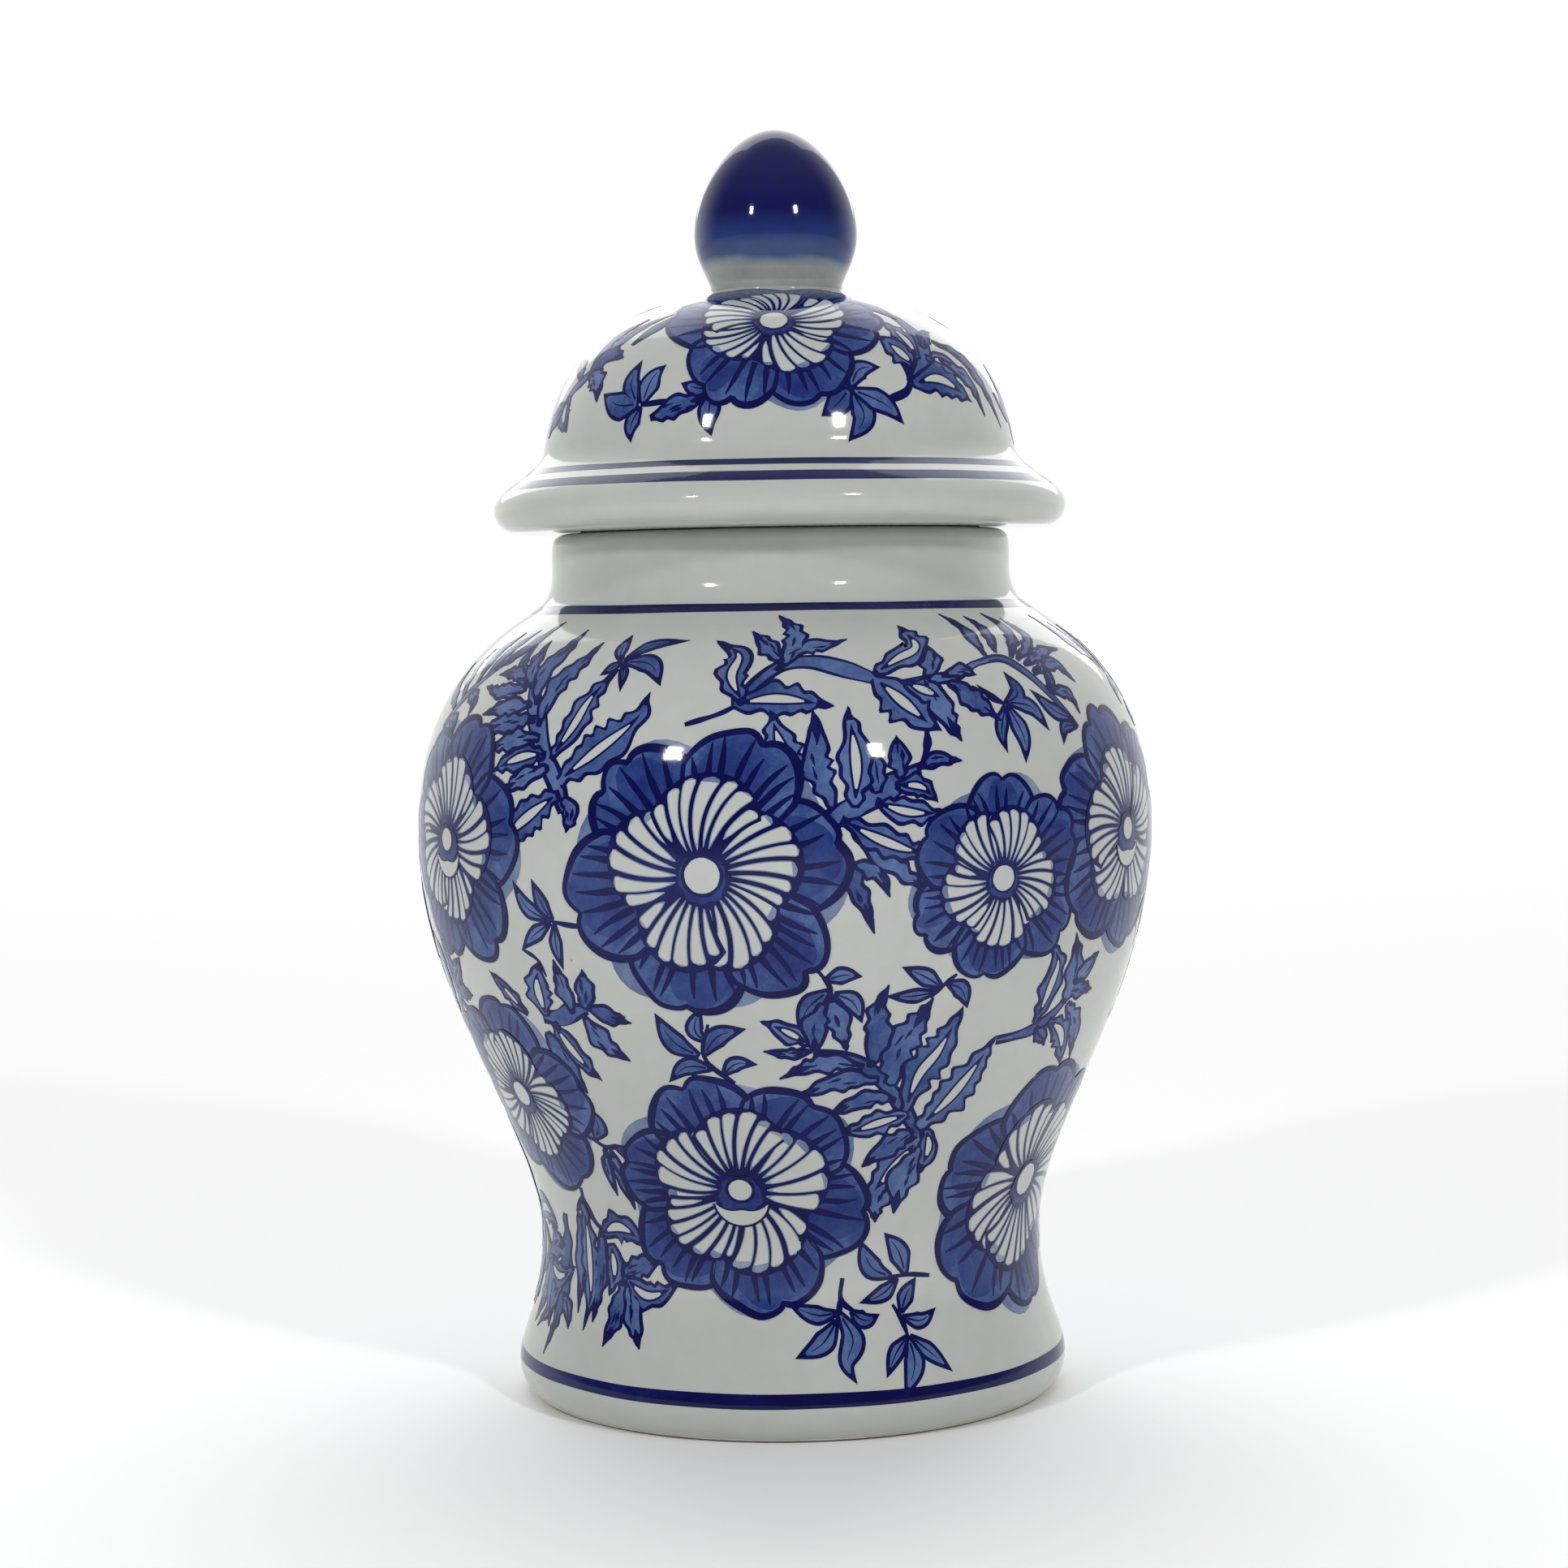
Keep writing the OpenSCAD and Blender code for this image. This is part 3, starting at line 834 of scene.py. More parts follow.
# Each part of a spray is the function that draws it, its width in mm, and its points, which are
# (azimuth, height). Azimuths are degrees to the right of the front, and heights are millimetres
# above the floor.
SPRAYS = {
    "upper_left": [
        (stem, 4.6, (-33.5, 121.5), (-35.5, 127), (-38.5, 132), (-41.5, 138), (-45, 143.5), (-47, 147)),
        (slot, 6.8, (-35, 127), (-29, 132.5), (-23, 138.5), (-21.5, 143.5)),
        (slot, 4.8, (-37, 131), (-34, 137), (-32, 142.5), (-28.5, 147.8)),
        (leaf, 4.2, (-41, 137), (-40.5, 144), (-37, 149), (-35, 152.6)),
        (leaf, 4.0, (-43, 141), (-45, 147), (-43, 151), (-41.5, 155)),
        (leaf, 3.4, (-46, 144), (-49, 148.5), (-49.5, 153)),
        (leaf, 3.0, (-47.5, 144), (-52.5, 148.5), (-53, 152.5)),
        (leaf, 3.6, (-44, 141), (-50, 140.6), (-56.5, 139)),
        (leaf, 3.4, (-47, 144), (-55, 143.4), (-60, 144.3)),
        (leaf, 3.0, (-48, 146), (-53.5, 147), (-58, 146.5)),
        (leaf, 4.0, (-42, 138.5), (-49, 137.6), (-56, 135.2)),
        (leaf, 3.8, (-40, 135), (-45, 134.6), (-52, 132.2)),
        (slot, 4.6, (-38, 132), (-43, 131.4), (-49.5, 128.5)),
        (leaf, 3.6, (-37, 129.5), (-41, 128), (-47, 124.5)),
        (slot, 5.8, (-34.5, 125), (-39, 121.5), (-44, 117), (-47.5, 111.5)),
        (leaf, 3.6, (-34, 124), (-32.4, 121.5), (-33.2, 117.5)),
    ],
    "far_left": [
        (stem, 2.6, (-72, 136), (-68, 141), (-64, 145), (-60, 148)),
        (leaf, 3.0, (-61, 147.5), (-56, 151), (-51, 156.5)),
        (leaf, 2.8, (-63, 146), (-61, 151), (-57, 155)),
        (leaf, 2.8, (-65, 145), (-66, 150), (-62.5, 154.5)),
        (leaf, 2.8, (-68, 142), (-71.5, 147), (-70, 151.5)),
        (leaf, 2.8, (-70, 140), (-76, 144), (-77, 149)),
        (leaf, 3.0, (-66, 143.5), (-62, 141.5), (-61.5, 138.5)),
        (leaf, 3.0, (-70, 138.5), (-66.5, 137), (-66.5, 134)),
    ],
    "upper_left_sprig": [
        (blade, 2.4, (-29, 149), (-30, 151), (-29.5, 154)),
        (blade, 2.4, (-28.5, 149.3), (-24, 152), (-17, 152.8)),
        (blade, 3.6, (-28.5, 149), (-23, 148.5), (-20, 144.5)),
        (blade, 1.8, (-28.5, 149), (-27.5, 147), (-27, 143.5)),
        (blade, 2.2, (-28.5, 149), (-30, 148), (-32, 146.5)),
    ],
    "top_centre": [
        (twig, 1.1, (-15, 137.5), (-10, 139.3), (-7, 141)),
        (stem, 3.6, (-7, 141), (-4, 145), (0, 148), (5, 148.6), (10, 147.3), (16, 145), (21, 144)),
        (slot, 6.0, (-8, 141), (-1, 142), (8, 140.5)),
        (slot, 4.8, (-6, 141), (-8.3, 146), (-7.5, 150), (-12, 152.7)),
        (leaf, 3.8, (-1, 147), (1.5, 150), (2.5, 154), (-0.5, 157.2)),
        (leaf, 3.4, (0, 148.5), (-3, 152), (-5.5, 154.3)),
        (leaf, 3.2, (1, 149.5), (5, 151.3), (8, 151.6), (12, 152.6)),
        (slot, 5.2, (15, 146), (20, 148.8), (24.5, 151), (23, 155)),
        (slot, 6.6, (15, 145.5), (19, 141), (22.5, 137), (24.5, 135.5)),
        (slot, 4.4, (20, 144.5), (24, 142.5), (27, 140.5)),
        (twig, 1.5, (22, 136), (21.7, 133), (20.5, 129.5)),
        (leaf, 4.2, (24, 145), (25.5, 139), (27.5, 133.5)),
        (leaf, 4.0, (24.5, 145), (26.3, 148.5), (27, 151.3)),
        (stem, 2.6, (20, 144.5), (25, 145), (30, 145.5), (34.5, 147.5), (38, 148)),
        (leaf, 3.0, (27, 145.5), (31, 146.5), (34, 145.5)),
        (leaf, 3.8, (28, 144.5), (32, 140.5), (35.5, 137)),
    ],
    "top_right": [
        (stem, 2.2, (34, 147.5), (41, 148.5), (45, 146), (48.5, 141.5), (52.5, 135)),
        (leaf, 2.6, (38, 149), (37.5, 154), (34.5, 157)),
        (leaf, 2.6, (41, 149.5), (42.5, 154), (40.5, 156.5)),
        (leaf, 2.8, (44, 148.5), (49, 153.3), (46.5, 157)),
        (leaf, 2.6, (45, 148), (53, 152), (51, 156)),
        (leaf, 2.8, (46, 147), (54, 149.5), (60.5, 149.8)),
        (leaf, 3.2, (47, 145.5), (54.5, 147.3), (58, 143.5)),
        (leaf, 2.4, (48.5, 142), (51, 145), (51, 148)),
        (leaf, 2.8, (48.5, 142), (53.5, 141.5), (54.5, 137.5)),
        (blade, 3.0, (52, 136.5), (47.5, 138.5), (44, 142.5)),
        (blade, 2.6, (52.3, 135.2), (49, 135.3), (47.5, 132)),
    ],
    "right_sprig": [
        (twig, 0.8, (32, 143.5), (35, 141.5), (37.3, 140)),
        (blade, 3.2, (37.3, 140), (41, 142), (40, 146)),
        (blade, 1.5, (37.3, 140), (35, 141.5), (33, 143.8)),
        (blade, 3.2, (37.5, 140.3), (42.5, 139.3), (45, 134.7)),
        (blade, 2.7, (37.2, 139.8), (35, 135), (35.3, 131)),
        (blade, 3.5, (37.5, 139.8), (39, 134), (38.5, 129)),
    ],
    "centre_right": [
        (stem, 4.8, (5, 119), (9, 121.5), (13, 124), (17, 127), (20, 129)),
        (slot, 5.8, (2, 127), (-0.5, 134), (-2, 140)),
        (leaf, 4.8, (7, 122), (4.7, 130), (5, 135), (4.5, 140)),
        (slot, 5.6, (10, 122), (10.5, 130), (10, 140.5)),
        (leaf, 4.4, (13.5, 124.5), (13, 129), (12.5, 133.5)),
        (leaf, 3.8, (17, 127), (17, 131), (17, 135)),
        (leaf, 2.8, (19.5, 129), (23, 130.3), (27, 130)),
        (slot, 3.8, (16, 126), (20, 125.5), (22.5, 122.5)),
        (slot, 4.4, (13, 123), (18, 121), (24, 120.5)),
        (slot, 4.8, (8, 120), (13, 116.5), (18, 114), (23, 113)),
        (leaf, 3.8, (9, 119), (14, 113), (19, 108), (22, 106)),
        (leaf, 4.0, (6, 119), (8.5, 111), (11, 105), (12.8, 98.8)),
        (leaf, 3.0, (8.5, 112), (13, 110), (15, 105.5)),
    ],
    "left_sprig": [
        (twig, 0.9, (-30, 100), (-34, 100.3), (-37.5, 101)),
        (blade, 2.8, (-36.5, 101), (-38.3, 104), (-40, 108.7)),
        (blade, 3.0, (-37.5, 101), (-41.5, 103.3), (-44, 108.3)),
        (blade, 2.8, (-37, 100.6), (-41, 97.7), (-44, 94.8)),
        (blade, 2.7, (-36.3, 100.5), (-36.6, 96), (-36, 91.5)),
        (twig, 0.8, (-43.8, 95), (-41, 93.2), (-39.8, 90)),
    ],
    "left_fern": [
        (stem, 4.0, (-43, 82), (-39, 82), (-36, 83.5), (-33, 84)),
        (slot, 5.6, (-42, 82), (-42.3, 88), (-40.5, 93)),
        (leaf, 3.6, (-36, 83), (-37, 89), (-37.7, 93.5)),
        (leaf, 4.0, (-33.5, 84), (-32.5, 88), (-32.5, 92)),
        (leaf, 3.4, (-33, 84.5), (-29, 83), (-25.3, 81.8)),
        (leaf, 4.2, (-34, 82.5), (-31, 77.5), (-27, 74.3)),
        (slot, 4.8, (-41, 81), (-38, 75), (-33.8, 69.8)),
        (leaf, 5.0, (-43, 79), (-41, 73), (-38, 67)),
        (slot, 3.4, (-46.5, 82), (-50.5, 86.5), (-54, 90)),
    ],
    "sprig_below_a": [
        (twig, 1.0, (-9, 70.5), (-12.5, 73.5), (-13.8, 76.5), (-12.5, 82)),
        (blade, 3.8, (-14.5, 75.8), (-18.5, 78.5), (-21, 84)),
        (blade, 3.3, (-12.5, 73.3), (-17, 73.6), (-20.6, 70.4)),
        (blade, 3.6, (-13.8, 76), (-11, 79.8), (-6.5, 81.2)),
        (blade, 3.0, (-13, 78.5), (-14.8, 81), (-13.3, 85.5)),
        (blade, 2.8, (-11, 72), (-8.5, 74.4), (-5, 74.2)),
    ],
    "centre_sprig": [
        (twig, 0.9, (4.3, 92.5), (5.6, 90.5), (6.5, 88.5), (6.5, 85)),
        (blade, 3.0, (5.6, 90.3), (8.5, 91.2), (11.3, 90.8)),
        (blade, 3.8, (6.3, 88.3), (3.3, 85.3), (1.5, 81)),
        (blade, 3.3, (7, 87.7), (10, 86), (11.7, 81.8)),
        (leaf, 4.2, (6.5, 87), (8, 82), (9.5, 76.5)),
        (leaf, 4.2, (5.5, 86), (4.2, 81), (4.5, 75.5)),
        (slot, 3.8, (3.5, 78), (-0.5, 80.8), (-4.3, 82.7)),
        (leaf, 2.2, (4, 76.8), (0, 76.2), (-4, 76.8)),
    ],
    "big_fern": [
        (stem, 3.6, (4, 76), (9, 75), (13, 73), (17.5, 68.5), (21, 64), (24, 59.5), (25.5, 56)),
        (leaf, 4.6, (13.5, 73), (14.6, 79), (14, 84), (15.5, 89)),
        (leaf, 6.0, (18, 69), (17.5, 75), (20, 80), (23, 86)),
        (slot, 6.4, (21, 64), (22.5, 71), (25.5, 76), (28.5, 84)),
        (slot, 6.4, (24, 60), (29, 65), (33, 71), (36.3, 77.5)),
        (leaf, 3.6, (12.5, 73), (8, 74.3), (3, 73.5), (-1.5, 71.3)),
        (leaf, 3.8, (15.5, 70.5), (10, 70.7), (5.5, 69.5), (1, 67.3)),
        (leaf, 3.4, (19, 66.3), (14.5, 67), (10.5, 65.5), (6.5, 63.5)),
        (slot, 4.6, (22, 63.2), (17, 62), (12, 60.5), (8.5, 60.3)),
        (leaf, 4.2, (23.5, 60), (18.5, 56.5), (14, 53)),
        (slot, 6.0, (25, 58), (20.5, 52), (15, 45.5)),
        (leaf, 5.2, (25.5, 56), (23, 50), (22, 43)),
        (leaf, 4.2, (21, 49), (18, 45.5), (18, 41.5)),
        (slot, 4.2, (26, 60), (27.5, 56), (26.5, 50.5)),
    ],
    "fern_sprig": [
        (twig, 0.9, (26.5, 90.3), (24.3, 88.2), (22.5, 86)),
        (blade, 3.1, (24.2, 88), (21, 90.3), (17.3, 92.3)),
        (blade, 2.6, (23.5, 87.2), (19.5, 86.6), (15, 86.8)),
        (blade, 3.2, (25, 88.7), (27.7, 87.2), (29.3, 83.5)),
    ],
    "right_fern": [
        (stem, 2.6, (36.5, 76.5), (41, 77), (45, 78), (50, 81.5), (52, 86)),
        (slot, 5.0, (44.5, 79), (46, 86), (46.5, 91), (43.3, 95.3)),
        (leaf, 5.0, (51, 82), (51.7, 89), (50, 96)),
        (leaf, 3.6, (52, 86), (55, 88.5), (58, 91.5)),
        (leaf, 3.6, (51.5, 84), (55.5, 84.5), (59, 84)),
        (slot, 5.0, (48, 79), (53, 76), (57, 69)),
        (leaf, 4.2, (52, 82), (57, 77), (60, 70)),
        (leaf, 3.2, (45, 78), (47.5, 76), (49, 74)),
    ],
    "low_sprig": [
        (twig, 0.9, (31.5, 30), (27, 30.6), (23.5, 30.6), (19, 30.5)),
        (blade, 3.7, (25.5, 30.7), (23.7, 35.5), (20.3, 39.3)),
        (blade, 3.7, (22, 30.6), (17.5, 32.7), (14.8, 38.3)),
        (blade, 2.8, (23.5, 30.3), (20, 27.5), (14.5, 26)),
        (blade, 2.9, (12.5, 24.7), (15.5, 22.7), (19, 23.7)),
        (twig, 1.0, (11, 31), (10.5, 27), (13, 24.8), (15.5, 24.5)),
        (twig, 1.0, (10.5, 28), (10, 24.5), (9, 22)),
        (blade, 4.0, (10, 24.5), (12.7, 19.5), (11, 15), (12.8, 11.3)),
        (blade, 3.6, (9.5, 23), (6, 18.7), (0.5, 16.3)),
        (blade, 3.2, (9.8, 24.5), (5, 24.2), (-1, 26.5)),
        (twig, 1.0, (22, 25.3), (23.8, 22.5), (25, 19)),
        (blade, 2.8, (24, 22.8), (28.5, 21.7), (32.5, 23.7)),
        (blade, 3.0, (23.8, 23.5), (25.5, 27), (28, 30)),
        (blade, 2.8, (25, 19.3), (21.7, 16.3), (19, 12)),
        (blade, 3.7, (25, 19), (25.5, 14), (22.3, 8)),
        (blade, 3.0, (25.3, 19.2), (29.5, 15.7), (34, 11.7)),
    ],
    "sprig_e_f": [
        (twig, 1.1, (-46, 59.5), (-41, 57.5), (-38, 56), (-34, 56), (-29.5, 50.5)),
        (blade, 3.5, (-40, 57.5), (-38, 60.7), (-39, 64)),
        (leaf, 2.6, (-38.3, 55.7), (-39.3, 51), (-38.7, 46)),
        (leaf, 3.2, (-37, 55.5), (-36, 49.5), (-34.7, 43.5)),
        (blade, 3.8, (-35.5, 56.3), (-32, 54.3), (-28.5, 50)),
    ],
    "lower_left": [
        (twig, 1.5, (-50, 46.5), (-50, 43.5), (-47.5, 39.5), (-44, 38)),
        (twig, 1.2, (-50, 45), (-54, 41)),
        (slot, 5.2, (-46, 37.5), (-41, 39.5), (-37, 38.7), (-33.5, 36)),
        (leaf, 3.8, (-46, 38.5), (-47, 30), (-48.3, 20)),
        (slot, 4.4, (-43.5, 36), (-42.5, 30), (-44, 25.5)),
        (slot, 4.6, (-51, 43.5), (-51, 33), (-50, 25), (-51, 18)),
        (leaf, 3.4, (-53.5, 41), (-54.5, 31), (-54, 21)),
        (stem, 4.0, (-43, 34.5), (-41, 31.5), (-38.5, 29.3)),
        (leaf, 4.2, (-40, 30.5), (-34.5, 32.3), (-29.5, 33.5)),
        (slot, 4.6, (-39, 29.5), (-32.5, 26.7), (-24.5, 29.7)),
        (leaf, 4.2, (-39.5, 29), (-41.3, 22), (-43.8, 16)),
        (leaf, 4.2, (-38.5, 29), (-36.3, 22), (-33.7, 16.6)),
        (leaf, 4.4, (-60, 40), (-61, 29), (-62.5, 20), (-64.5, 11.5)),
        (leaf, 3.2, (-62, 26), (-67, 21), (-73, 15.5)),
        (leaf, 3.8, (-60.5, 31), (-66, 33.5), (-70, 37)),
        (leaf, 3.2, (-61.5, 24), (-58, 20.5), (-56.5, 17.5)),
    ],
}
LID_SPRAYS = {
    "lid_sprig_left": [
        (twig, 1.2, (-35, 197.8), (-27, 198.3), (-21, 198), (-15.5, 200.5)),
        (blade, 3.6, (-36, 198), (-39.5, 202.3), (-38.5, 206.7)),
        (blade, 4.2, (-34.5, 198), (-33, 203), (-30, 205.5)),
        (blade, 5.0, (-35.5, 198), (-42, 198), (-48.5, 200.5)),
        (blade, 3.2, (-34.8, 197.5), (-37, 193.8), (-36.5, 190.6)),
        (leaf, 4.2, (-31.5, 195), (-25, 197.3), (-17, 198.7)),
        (blade, 3.2, (-16, 201), (-19.5, 200.5), (-24.5, 201.7)),
        (blade, 3.8, (-15.8, 200), (-16.5, 194.5), (-15.5, 191.3)),
    ],
    "lid_fern_left": [
        (stem, 2.8, (-68, 198.5), (-65, 202), (-59, 205), (-55, 208)),
        (leaf, 4.2, (-60, 205), (-54, 208.3), (-46.5, 207.5)),
        (leaf, 3.8, (-59.5, 205.5), (-53, 203), (-50.5, 199)),
        (leaf, 2.8, (-60, 206), (-58, 211.5), (-50, 215.5)),
        (leaf, 2.8, (-56, 208), (-50, 213), (-40, 216)),
        (blade, 2.8, (-46, 210), (-38, 214.7), (-32, 217)),
        (slot, 4.6, (-66, 201), (-66, 197), (-62, 193.5)),
        (leaf, 4.0, (-67, 199.5), (-73, 196.5), (-76, 193)),
        (leaf, 3.0, (-63, 204), (-69, 207), (-75, 208)),
    ],
    "lid_sprig_right": [
        (blade, 3.6, (17.8, 200.3), (21, 203.8), (27, 204.3)),
        (blade, 4.2, (17.5, 200), (14, 197), (10, 194.7)),
        (blade, 4.2, (17.8, 199.7), (20.3, 194.5), (16, 189.8)),
        (blade, 4.0, (18, 199.8), (26, 197), (30.5, 193.2)),
        (twig, 1.0, (15.5, 203), (17, 201.5), (18, 199.3)),
    ],
    "lid_fern_right": [
        (twig, 1.7, (26.5, 197.7), (33, 199.7), (35, 203), (33.5, 207.5)),
        (stem, 4.2, (35, 201), (39, 204), (43, 207), (45, 211), (43, 215)),
        (slot, 6.0, (35, 201), (45, 202.3), (55.5, 198)),
        (slot, 5.0, (38, 204.5), (33.5, 208.3), (30, 210.8)),
        (slot, 4.4, (40, 206), (39.5, 209.7), (35, 214)),
        (leaf, 3.2, (44, 208.5), (49, 211.3), (53, 212)),
        (slot, 4.2, (43, 206.5), (50, 205.7), (57, 202.5)),
        (leaf, 2.8, (48, 206.5), (57, 202.5), (60, 195.5)),
        (leaf, 2.8, (50, 210), (61, 206.5), (69, 193.5)),
        (blade, 2.6, (43.5, 214.5), (36, 217.7), (28, 219)),
    ],
}


def spray(wall, parts, name, seed, shift, flip):
    """A branch with its leaves. shift turns it round the wall, and flip mirrors it."""
    _, _, (azimuth, height), *_ = parts[0]
    motif = Motif(wall, azimuth, height, shift=shift, flip=flip, seed=seed)
    for k, (draw, width, *points) in enumerate(parts):
        tier = 0 if draw in (stem, twig) else TIER * (1 + k % 2)
        lift = {layer: level + tier for layer, level in LIFT.items()}
        path = [motif.pin(*point) for point in points]
        draw(motif, path, width, lift, 0.30 + motif.near(0.14))
    motif.build(name)


# ---------------- the jar, the lid and the finial


def outer_face(outline, low, high):
    """The part of an outline that climbs between two heights on the outside."""
    path = spaced(outline)
    height = path[:, 1]
    keep = (np.gradient(height) > 0.02 * MM) & (height >= low) & (height <= high)
    start = int(np.argmax(keep))
    stop = start + int(np.argmin(keep[start:]))
    return path[start:stop]


jar_line = to_axis(cad_outline("jar_body"))
lid_line = cad_outline("lid")
ring_line = cad_outline("lid_ring")
finial_line = to_axis(cad_outline("finial"))[::-1]

jar_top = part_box("jar_body")[1].z
seat, dome_top = (corner.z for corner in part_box("lid"))
finial_low, finial_top = (corner.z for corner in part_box("finial"))
walked = lengths(jar_line)
inner_start = (walked[int(np.argmax(jar_line[:, 1]))] + 9 * MM) / walked[-1]
bare_below = 0.6 * MM
lid_inside = 0.55  # the share of the lid's outline at which its inside starts


def jar_kind(z, share):
    """Bare clay where the foot stands, white glaze outside and over the lip, and inside a darker copy
    of it as painted shade.
    """
    return 2 if z < bare_below else 0 if share < inner_start else 1


def lid_kind(z, share):
    """White glaze outside, and inside a darker copy of it as painted shade."""
    return int(share > lid_inside)


def plain(z, share):
    """One material all over."""
    return 0


COBALT = finial_glaze("finial_cobalt", finial_low, finial_top)
for name, outline, kind, materials, body, node, closed in (
    ("jar", jar_line, jar_kind, [WHITE, SHADED_INSIDE, BARE], "jar", "jar_body", False),
    ("lid_shell", lid_line, lid_kind, [WHITE, SHADED_INSIDE], "lid", "lid", True),
    ("locating_ring", ring_line, plain, [BARE], "lid", "lid_ring", True),
    ("finial_egg", finial_line, plain, [COBALT], "lid", "finial", False),
):
    join_frame(turned(name, outline, kind, materials, closed), body, node)

JAR_WALL = Wall(outer_face(jar_line, 1 * MM, jar_top - 4 * MM), "jar", "jar_body")
LID_WALL = Wall(outer_face(lid_line, seat + 2 * MM, dome_top - 0.2 * MM), "lid", "lid")

# height and width in mm, name, seed
band(JAR_WALL, 8.6, 2.7, "band_foot", 1)
band(JAR_WALL, 158.8, 2.7, "band_neck", 2)
band(LID_WALL, 186.2, 1.9, "band_lid_upper", 3)
band(LID_WALL, 183.5, 2.8, "band_lid_lower", 4)

# name: azimuth, height, radius, petals, turn, crescent
FLOWERS = {
    "a": (-11.8, 110.1, 29, 6, 96, False),
    "b": (33, 108, 21, 6, 60, False),
    "c": (63, 115, 26, 6, 20, True),
    "d": (-61, 115, 26, 6, 100, True),
    "e": (-58, 65, 22.8, 5, 40, False),
    "f": (-10, 49, 27, 6, 80, True),
    "g": (60.5, 45.6, 29, 6, 10, False),
    "h": (106, 103, 22, 6, 45, False),
    "i": (147, 112, 28, 6, 15, False),
    "j": (188, 105, 22, 5, 70, True),
    "k": (228, 112, 27, 6, 110, False),
    "l": (263, 99, 19.5, 5, 25, False),
    "m": (113, 61, 22, 6, 35, True),
    "n": (159, 45, 26, 6, 75, False),
    "o": (211, 59, 22.5, 5, 5, False),
    "p": (257, 45, 24, 6, 50, True),
}
LID_FLOWERS = {
    "lid_a": (-1, 213.5, 23, 6, 30, False),
    "lid_b": (119, 213, 20, 6, 80, False),
    "lid_c": (240, 214, 20.5, 6, 10, True),
}
# sprays repeated round the back: how far each is turned, and whether it is mirrored
REPEATS = {
    "top_centre": ((112, False), (240, True)),
    "upper_left": ((203, False), (281, False)),
    "far_left": ((158, True),),
    "upper_left_sprig": ((150, True),),
    "top_right": ((128, False), (225, True)),
    "right_sprig": ((52, False), (170, False)),
    "centre_right": ((157, False), (235, True)),
    "left_sprig": ((118, False), (165, True), (285, False)),
    "left_fern": ((178, False), (312, True)),
    "big_fern": ((112, False), (160, True), (211, False)),
    "centre_sprig": ((126, True), (233, False)),
    "right_fern": ((40, False), (135, True), (238, False)),
    "low_sprig": ((93, False), (175, True), (220, False)),
    "lower_left": ((232, False), (328, False)),
}
LID_REPEATS = {
    "lid_sprig_left": ((119, False), (241, False)),
    "lid_sprig_right": ((119, False), (241, True)),
    "lid_fern_right": ((121, False),),
    "lid_fern_left": ((238, False),),
}

for wall, flowers, seed in ((JAR_WALL, FLOWERS, 10), (LID_WALL, LID_FLOWERS, 60)):
    for k, (name, placed) in enumerate(flowers.items()):
        flower(wall, "flower_" + name, seed + k, *placed)
for wall, sprays, repeats in ((JAR_WALL, SPRAYS, REPEATS), (LID_WALL, LID_SPRAYS, LID_REPEATS)):
    for k, (name, parts) in enumerate(sprays.items()):
        for n, (shift, flip) in enumerate(((0, False), *repeats.get(name, ()))):
            spray(wall, parts, f"spray_{name}_{n}", 100 + 7 * k + n, shift, flip)


# ---------------- floor, light and camera


ROOM, BACK, OVERHEAD = 0.24, 0.84, 0.22  # the room's light, and what is added behind and above
LAMPS = (  # name, azimuth and rise in degrees, distance and size in metres, power in watts
    ("left", -36, 29, 1.2, (0.075, 0.12), 3.5),
    ("right", 30, 29, 1.2, (0.075, 0.12), 3.5),
    ("behind", 180, 40, 3.6, (3.8, 3.8), 70.0),
)
FLOOR = 3.4  # metres from the middle to each side
AIM = Vector((0, 0, 0.13))  # where the lamps point


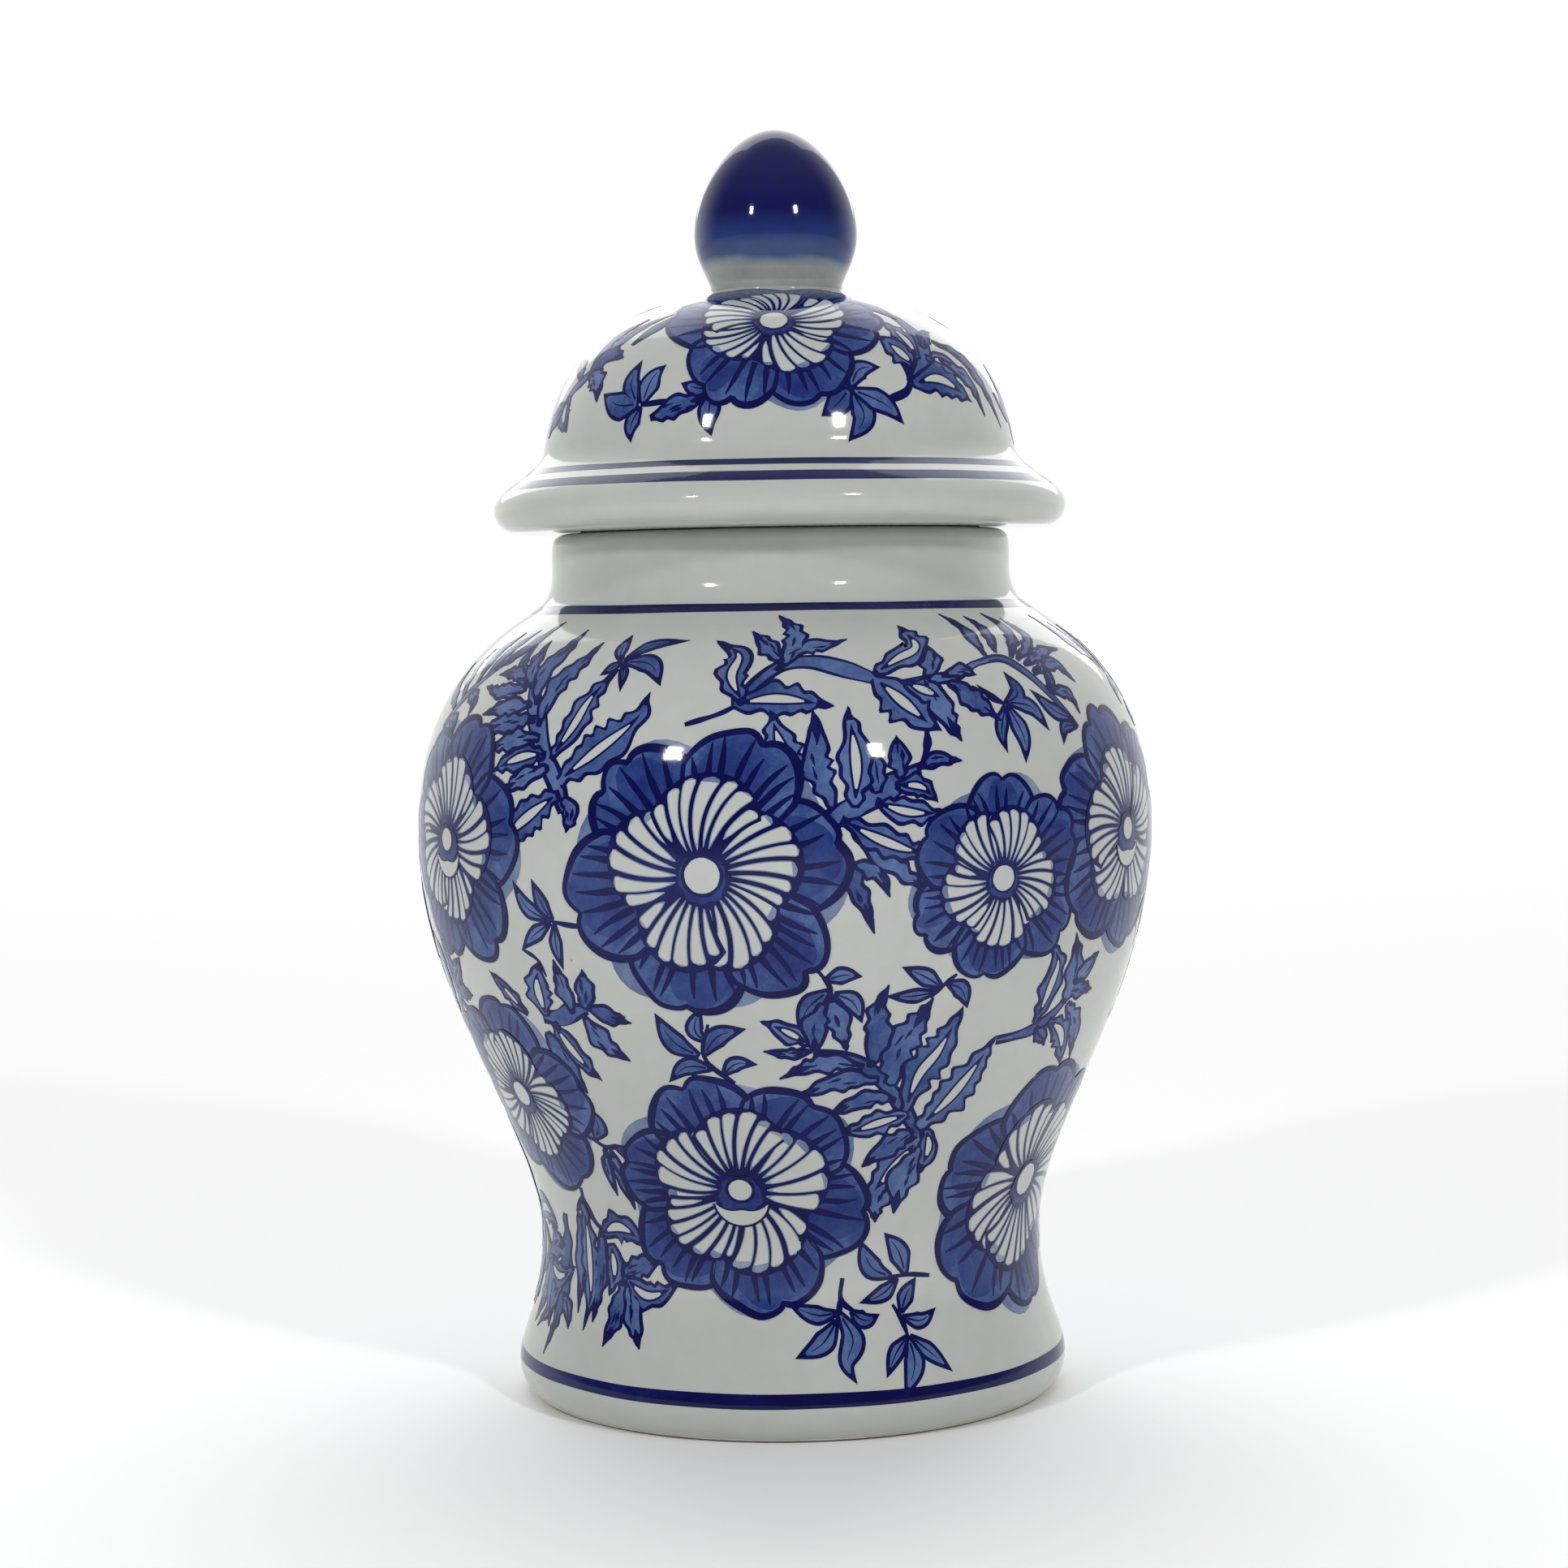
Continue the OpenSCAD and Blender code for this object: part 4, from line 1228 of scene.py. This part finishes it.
def floor():
    """A wide pale sheet."""
    paper = new_material("paper")
    paper.set(Base_Color=(0.94, 0.94, 0.94, 1), Roughness=0.9)
    corners = [(x * FLOOR, y * FLOOR, 0) for x, y in ((-1, -1), (1, -1), (1, 1), (-1, 1))]
    add_mesh("floor", corners, [(0, 1, 2, 3)], [paper.owner], [0])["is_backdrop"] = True


def room():
    """White light from all round, with more of it behind the jar and above it."""
    world = bpy.data.worlds.new("studio")
    bpy.context.scene.world = world
    nodes = Nodes(world)
    way = nodes.add("SeparateXYZ", {0: nodes.add("TexCoord").outputs["Generated"]})
    added = []
    for axis, low, high, most in (("Y", -0.05, 0.75, BACK), ("Z", 0.45, 1.0, OVERHEAD)):
        inputs = {"Value": way.outputs[axis], "From Min": low, "From Max": high, "To Max": most}
        ease = nodes.add("MapRange", inputs, interpolation_type="SMOOTHSTEP")
        added.append(ease.outputs["Result"])
    white = nodes.tree.nodes["Background"]
    nodes.feed(nodes.maths("ADD", nodes.maths("ADD", *added), ROOM), white.inputs["Strength"])
    nodes.feed((1, 1, 1, 1), white.inputs["Color"])


def lamps():
    """Two small lamps that the glaze reflects, and a wide one that lights what is behind the jar."""
    for name, turn, rise, away, size, power in LAMPS:
        turn, rise = math.radians(turn), math.radians(rise)
        light = bpy.data.lights.new(name, "AREA")
        light.shape = "RECTANGLE"
        light.size, light.size_y = size
        light.energy = power
        lamp = add_object(name, light)
        level = math.cos(rise)
        toward = Vector((level * math.sin(turn), -level * math.cos(turn), math.sin(rise)))
        lamp.location = AIM + toward * away
        lamp.rotation_euler = (-toward).to_track_quat("-Z", "Y").to_euler()


def camera():
    """Level with the neck, tipped a little down, and rolled by under a degree as the picture is."""
    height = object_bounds()[1].z
    away, level = 2.697, 0.6245  # the camera's place, in heights of the jar
    data = bpy.data.cameras.new("camera")
    data.sensor_width = 36
    data.lens = 77.6
    cam = add_object("camera", data)
    cam.location = (0, -away * height, level * height)
    down, roll = math.radians(3.038), math.radians(-0.88)
    look = Vector((0, math.cos(down), -math.sin(down)))
    cam.rotation_euler = look.to_track_quat("-Z", "Y").to_euler()
    cam.rotation_euler.rotate_axis("Z", roll)
    bpy.context.scene.camera = cam


floor()
room()
lamps()
camera()
bpy.context.scene.view_settings.view_transform = "Standard"
